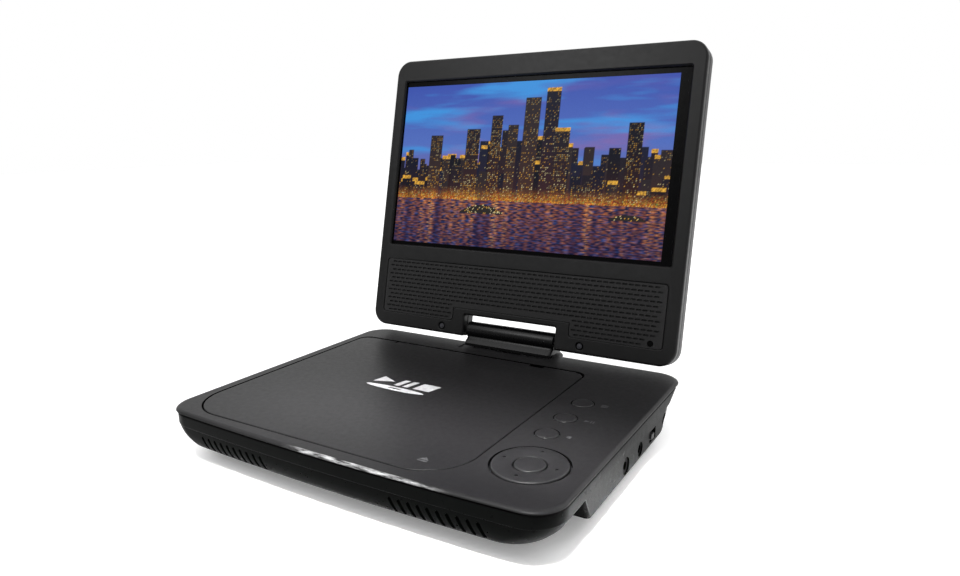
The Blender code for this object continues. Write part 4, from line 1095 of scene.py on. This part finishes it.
def make_grille():
    """A thin plate with staggered rows of short slots, over black cloth."""
    plate = add_slab("grille_plate", grille_outline(0.4 * MM), 5.6 * MM, 6.2 * MM, GRILLE_PLASTIC)
    bm = bmesh.new()
    r = SLOT_WIDTH / 2
    straight = SLOT_LENGTH / 2 - r
    outline = arc(straight, 0, r, -90, 90, 4) + arc(-straight, 0, r, 90, 270, 4)
    for row in range(GRILLE_ROWS):
        v = GRILLE_FIRST_ROW + row * GRILLE_ROW_PITCH
        shift = SLOT_PITCH / 2 if row % 2 else 0.0
        for column in SLOT_COLUMNS:
            u = column * SLOT_PITCH + shift
            in_step = v < STEP_TOP and abs(u) < STEP_HALF
            near_eye = math.hypot(u - EYE[0], v - EYE[1]) < EYE_CLEAR
            if abs(u) > SLOTS_HALF or in_step or near_eye:
                continue
            lower = [bm.verts.new((u + a, v + b, 5 * MM)) for a, b in outline]
            upper = [bm.verts.new((u + a, v + b, 7 * MM)) for a, b in outline]
            count = len(outline)
            for i in range(count):
                j = (i + 1) % count
                bm.faces.new((lower[i], lower[j], upper[j], upper[i]))
            bm.faces.new(list(reversed(lower)))
            bm.faces.new(upper)
    slots = add_object("grille_slots", bm)
    combine(plate, [slots, eye_way()])
    finish_piece(plate, "screen", "speaker_grille", SCREEN_PLANE)
    cloth = add_slab("speaker_cloth", grille_outline(1.2 * MM), 5.35 * MM, 5.5 * MM, CLOTH)
    combine(cloth, [eye_way()])
    finish_piece(cloth, "screen", None, SCREEN_PLANE)


make_bezel()
make_back_cover()
make_grille()
dress(SCREW_STEEL, "bezel_screw_left", "bezel_screw_right")


# ---- picture
PICTURE = (-86.2 * MM, 81.3 * MM, 48.1 * MM, 142.5 * MM)
PICTURE_COLUMNS = 335
PICTURE_ROWS = 189
PICTURE_FRONT = 4.42 * MM
PICTURE_BACK = 4.31 * MM
SHORE = 0.285
SHORE_LIGHTS = 15


def linear(colour):
    """Turns display values into light."""
    return tuple((c / 255) ** 2.2 for c in colour)


def mixed(first, second, amount):
    amount = max(0.0, min(1.0, amount))
    return tuple(a + (b - a) * amount for a, b in zip(first, second))


SKY_TOP = linear((62, 84, 172))
SKY_MIDDLE = linear((84, 112, 190))
SKY_LOW = linear((116, 92, 142))
CLOUD_PINK = linear((140, 104, 164))
CLOUD_BLUE = linear((66, 146, 222))
WATER_FAR = linear((34, 32, 60))
WATER_NEAR = linear((22, 24, 58))
WALLS = [linear(c) for c in ((24, 26, 42), (34, 30, 40), (20, 22, 34), (46, 40, 44), (28, 32, 52))]
LAMP_GOLD = linear((255, 190, 70))
LAMP_ORANGE = linear((236, 120, 30))
LAMP_PALE = linear((255, 236, 170))
LAMP_RED = linear((225, 50, 40))
LAMP_GREEN = linear((80, 200, 110))


def sky(s, t):
    colour = mixed(SKY_LOW, SKY_MIDDLE, (t - SHORE) / 0.35)
    colour = mixed(colour, SKY_TOP, (t - 0.62) / 0.38)
    streak = lattice_noise.fractal(Vector((s * 3.0, t * 9.0, 1.7)), 1.0, 2.0, 4)
    colour = mixed(colour, CLOUD_PINK, streak * 1.1 * (1.15 - abs(t - 0.55) * 2.2))
    streak = lattice_noise.fractal(Vector((s * 2.6, t * 12.0, 8.3)), 1.0, 2.0, 4)
    return mixed(colour, CLOUD_BLUE, streak * 1.4 - 0.05)


TOWER_ROWS = [
    # count, lowest top, highest top, extra height in the middle
    (60, 0.44, 0.60, 0.10),
    (44, 0.40, 0.62, 0.14),
    (26, 0.36, 0.50, 0.0),
]
TALL_TOWERS = [
    # middle, half width, top
    (0.15, 0.024, 0.68), (0.30, 0.026, 0.72), (0.39, 0.020, 0.80), (0.455, 0.018, 0.74),
    (0.52, 0.026, 0.90), (0.59, 0.024, 0.95), (0.635, 0.026, 0.72), (0.88, 0.022, 0.74),
]
CROWD_MIDDLE = 0.47
CROWD_WIDTH = 0.18


def make_towers(dice):
    """(left, right, top, wall colour, mood, share of lit windows), from the farthest to the nearest."""
    towers = []

    def add_tower(middle, half, top, least, most):
        looks = (dice.choice(WALLS), dice.random(), dice.uniform(least, most))
        towers.append((middle - half, middle + half, top, *looks))

    for count, low, high, crowd in TOWER_ROWS:
        for i in range(count):
            middle = (i + dice.random()) / count
            half = dice.uniform(0.008, 0.022)
            rise = crowd * math.exp(-(((middle - CROWD_MIDDLE) / CROWD_WIDTH) ** 2))
            add_tower(middle, half, dice.uniform(low, high) + rise, 0.1, 0.5)
    for middle, half, top in TALL_TOWERS:
        add_tower(middle, half, top, 0.35, 0.7)
    return towers


LIT_FLOORS = 0.85
PALE_WINDOWS = 0.4
CROWN_ROWS = 4
CROWNED_MOOD = 0.70
ORANGE_SHORE = 0.55
COLOURED_SHORE = 0.05


def make_city(dice):
    """Colours for every column and row above the water."""
    rows = [[sky(i / (PICTURE_COLUMNS - 1), j / (PICTURE_ROWS - 1)) for i in range(PICTURE_COLUMNS)]
            for j in range(PICTURE_ROWS)]
    shore_row = round(SHORE * (PICTURE_ROWS - 1))
    for left, right, top, wall, mood, lit in make_towers(dice):
        first = max(0, round(left * PICTURE_COLUMNS))
        last = min(PICTURE_COLUMNS - 1, round(right * PICTURE_COLUMNS))
        top_row = min(PICTURE_ROWS - 1, round(top * (PICTURE_ROWS - 1)))
        for j in range(shore_row, top_row + 1):
            floor_lit = dice.random() < LIT_FLOORS
            low_down = 1 - (j - shore_row) / (top_row - shore_row + 1)
            for i in range(first, last + 1):
                colour = mixed(wall, LAMP_ORANGE, 0.05 * low_down**2)
                bay = (i - first) % 2 == 1 and (top_row - j) % 2 == 1
                if bay and floor_lit and dice.random() < lit:
                    lamp = LAMP_PALE if dice.random() < PALE_WINDOWS else LAMP_GOLD
                    colour = mixed(wall, lamp, (0.35 + 0.65 * low_down) * dice.random())
                if top_row - j < CROWN_ROWS and mood > CROWNED_MOOD:
                    colour = mixed(wall, LAMP_GOLD, dice.uniform(0.2, 1.0))
                rows[j][i] = colour
    for i in range(PICTURE_COLUMNS):
        s = i / PICTURE_COLUMNS
        busy = lamp_strength(s)
        for j in range(shore_row, shore_row + SHORE_LIGHTS):
            height = (j - shore_row) / SHORE_LIGHTS
            glow = (1 - height) ** 1.5 * (0.10 + 1.05 * busy) * dice.uniform(0.1, 1.2)
            lamp = LAMP_ORANGE if dice.random() < ORANGE_SHORE else LAMP_GOLD
            if dice.random() < COLOURED_SHORE:
                lamp = dice.choice((LAMP_RED, LAMP_GREEN, LAMP_PALE, LAMP_PALE))
            rows[j][i] = mixed(rows[j][i], lamp, glow)
    return rows, shore_row


def lamp_strength(s):
    """How busy the shore's lights are at s, from 0 to 1."""
    value = 0.5 + 0.75 * lattice_noise.noise(Vector((s * 30, 3.1, 0)))
    return max(0.0, min(1.0, value))


BOATS = [
    # middle, half length, height in rows
    (0.36, 0.085, 8),
    (0.88, 0.06, 5),
]
BOATS_BELOW = 15
BOAT_LAMPS = 0.09


def make_water(rows, shore_row, dice):
    """Below the shore, long broken streaks under the brightest lights, and two dark boats."""
    for j in range(shore_row):
        depth = 1 - j / shore_row
        for i in range(PICTURE_COLUMNS):
            s = i / PICTURE_COLUMNS
            sway = 0.012 * lattice_noise.noise(Vector((s * 30, j * 0.9, 4.0)))
            lamps = lamp_strength(s + sway) ** 2
            ripple = lattice_noise.noise(Vector((s * 60, j * 0.85, 2.0)))
            colour = mixed(WATER_FAR, WATER_NEAR, depth)
            gleam = max(0.0, lattice_noise.noise(Vector((s * 40, j * 0.7, 6.0))))
            colour = mixed(colour, SKY_MIDDLE, gleam * 0.5)
            shine = max(0.0, ripple + 0.22) * (0.10 + 1.9 * lamps) * (1.1 - 0.75 * depth)
            lamp = mixed(LAMP_ORANGE, LAMP_PALE, dice.uniform(0.0, 0.9) * lamps)
            rows[j][i] = mixed(colour, lamp, shine)
    keel = shore_row - BOATS_BELOW
    for middle, half, height in BOATS:
        first, last = [round(end * PICTURE_COLUMNS) for end in (middle - half, middle + half)]
        for i in range(first, last):
            across = abs(i / PICTURE_COLUMNS - middle) / half
            for j in range(keel, keel + round(height * (1.2 - across**2))):
                lamp = dice.choice((LAMP_PALE, LAMP_PALE, LAMP_GOLD))
                rows[j][i] = mixed(WALLS[2], lamp, 0.8 if dice.random() < BOAT_LAMPS else 0.02)


def make_picture():
    dice = random.Random(7)
    rows, shore_row = make_city(dice)
    make_water(rows, shore_row, dice)
    u0, u1, v0, v1 = PICTURE
    bm = bmesh.new()
    front = []
    for j in range(PICTURE_ROWS):
        v = v0 + (v1 - v0) * j / (PICTURE_ROWS - 1)
        us = [u0 + (u1 - u0) * i / (PICTURE_COLUMNS - 1) for i in range(PICTURE_COLUMNS)]
        front.append([bm.verts.new((u, v, PICTURE_FRONT)) for u in us])
    for below, above in zip(front, front[1:]):
        for i in range(PICTURE_COLUMNS - 1):
            bm.faces.new((below[i], below[i + 1], above[i + 1], above[i]))
    rim = front[0] + [row[-1] for row in front[1:]] + front[-1][-2::-1] + [row[0] for row in front[-2:0:-1]]
    back = [bm.verts.new((vert.co.x, vert.co.y, PICTURE_BACK)) for vert in rim]
    for i in range(len(rim)):
        j = (i + 1) % len(rim)
        bm.faces.new((rim[j], rim[i], back[i], back[j]))
    bm.faces.new(list(reversed(back)))
    picture = add_object("lcd_picture", bm, make_picture_material())
    colours = picture.data.color_attributes.new("picture", "FLOAT_COLOR", "POINT")
    flat = [channel for row in rows for colour in row for channel in (*colour, 1.0)]
    flat += [0.0, 0.0, 0.0, 1.0] * len(back)
    colours.data.foreach_set("color", flat)
    finish_piece(picture, "screen", None, SCREEN_PLANE)


def make_picture_material():
    """Lit dots under a satin film."""
    material, tree, shader = start_material("lit_picture", 0.30, specular=0.05)
    paint = tree.nodes.new("ShaderNodeVertexColor")
    paint.layer_name = "picture"
    dots = spread(noise(tree, 2600, 2), 0.0, 0.10)
    grain = blend_colours(dots, paint.outputs["Color"], (0.0, 0.0, 0.0))
    wire(grain, shader.inputs["Emission Color"])
    shader.inputs["Emission Strength"].default_value = 1.0
    shader.inputs["Base Color"].default_value = (0.004, 0.004, 0.004, 1)
    wire(spread(noise(tree, 600, 3), 0.24, 0.36), shader.inputs["Roughness"])
    return material


def make_panel():
    low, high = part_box("lcd_panel")
    half = (high[0] - low[0]) / 2
    grow = 1.2 * MM
    outline = rounded(-half, half, WINDOW[2] - grow, WINDOW[3] + grow, (0.6 * MM,) * 4, steps=6)
    panel = add_slab("lcd_sheet", outline, 2.7 * MM, 4.3 * MM, PANEL_FILM)
    finish_piece(panel, "screen", "lcd_panel", SCREEN_PLANE)


make_panel()
make_picture()


# ---- disc drive, under the lid
def dress_lens():
    lens, tree, shader = start_material("lens_glass", 0.05)
    tint = blend_colours(spread(noise(tree, 900, 2), 0, 1), (0.10, 0.14, 0.30), (0.16, 0.20, 0.40))
    wire(tint, shader.inputs["Base Color"])
    shader.inputs["Coat Weight"].default_value = 1.0
    add_bump(shader, noise(tree, 1500, 2), 0.05, 0.00002)
    dress(lens, "pickup_lens")


dress(DRIVE_PLASTIC, "spindle_hub")
dress_lens()


# ---- studio
FLOOR_HALF = 3.0
FLOOR_GLOW = 0.2


def make_floor():
    bm = bmesh.new()
    bmesh.ops.create_grid(bm, x_segments=1, y_segments=1, size=FLOOR_HALF)
    floor = add_object("floor", bm)
    material, tree, shader = start_material("floor_paper", 0.9, specular=0.1)
    paper = blend_colours(noise(tree, 30, 4), (0.98, 0.98, 0.98), (0.995, 0.995, 0.995))
    wire(paper, shader.inputs["Base Color"])
    wire(paper, shader.inputs["Emission Color"])
    shader.inputs["Emission Strength"].default_value = FLOOR_GLOW
    floor.data.materials.append(material)


def make_light(name, location, target, size, power, beam=180):
    data = bpy.data.lights.new(name, "AREA")
    data.shape = "RECTANGLE"
    data.spread = math.radians(beam)
    data.size, data.size_y = size
    data.energy = power
    light = bpy.data.objects.new(name, data)
    aim_light(light, location, target)


def make_sun(name, direction, strength, softness):
    data = bpy.data.lights.new(name, "SUN")
    data.energy = strength
    data.angle = math.radians(softness)
    light = bpy.data.objects.new(name, data)
    aim_light(light, direction, (0, 0, 0))


def aim_light(light, location, target):
    light.location = location
    light.rotation_euler = (Vector(target) - Vector(location)).to_track_quat("-Z", "Y").to_euler()
    bpy.context.scene.collection.objects.link(light)


def make_world():
    """White behind and above. Low down in front the studio is dim."""
    world = bpy.data.worlds.new("studio")
    world.use_nodes = True
    tree = world.node_tree
    behind = spread(part_of(tree, "Generated", "Y"), 0.0, 1.0, -0.25, 0.20)
    above = spread(part_of(tree, "Generated", "Z"), 0.08, 1.0, 0.02, 0.60)
    background = tree.nodes["Background"]
    wire(maths("MAXIMUM", behind, above), background.inputs["Color"])
    background.inputs["Strength"].default_value = 1.0
    bpy.context.scene.world = world


CAMERA_AT = (0.18147, -0.27931, 0.14316)
CAMERA_HEADING = math.radians(30.94)
CAMERA_DIP = math.radians(12.34)
CAMERA_ROLL = math.radians(-0.71)
CAMERA_LENS = 26.37


def make_camera():
    """Looks back and to the left, slightly down."""
    data = bpy.data.cameras.new("camera")
    data.lens = CAMERA_LENS
    data.sensor_width = 36
    data.clip_start = 0.01
    camera = bpy.data.objects.new("camera", data)
    turn = Matrix.Rotation(CAMERA_HEADING, 4, "Z")
    tilt = Matrix.Rotation(math.pi / 2 - CAMERA_DIP, 4, "X")
    roll = Matrix.Rotation(CAMERA_ROLL, 4, "Z")
    camera.matrix_world = Matrix.Translation(CAMERA_AT) @ turn @ tilt @ roll
    bpy.context.scene.collection.objects.link(camera)
    bpy.context.scene.camera = camera


make_floor()
make_world()
make_sun("key_light", direction=(-0.30, -0.12, 1.0), strength=0.5, softness=50)
make_light(
    "front_fill", (0.04, -0.24, 0.40), target=(0.04, -0.060, 0.024), size=(0.22, 0.02), power=0.165, beam=15
)
make_light("rear_fill", (0.40, 0.45, 0.55), target=(0.32, 0.38, 0), size=(0.5, 0.5), power=2.2)
make_light("screen_fill", (-0.25, -0.43, 0.56), target=(0, 0.10, 0.17), size=(0.30, 0.30), power=1.2)
make_camera()

bpy.context.scene.view_settings.view_transform = "Standard"
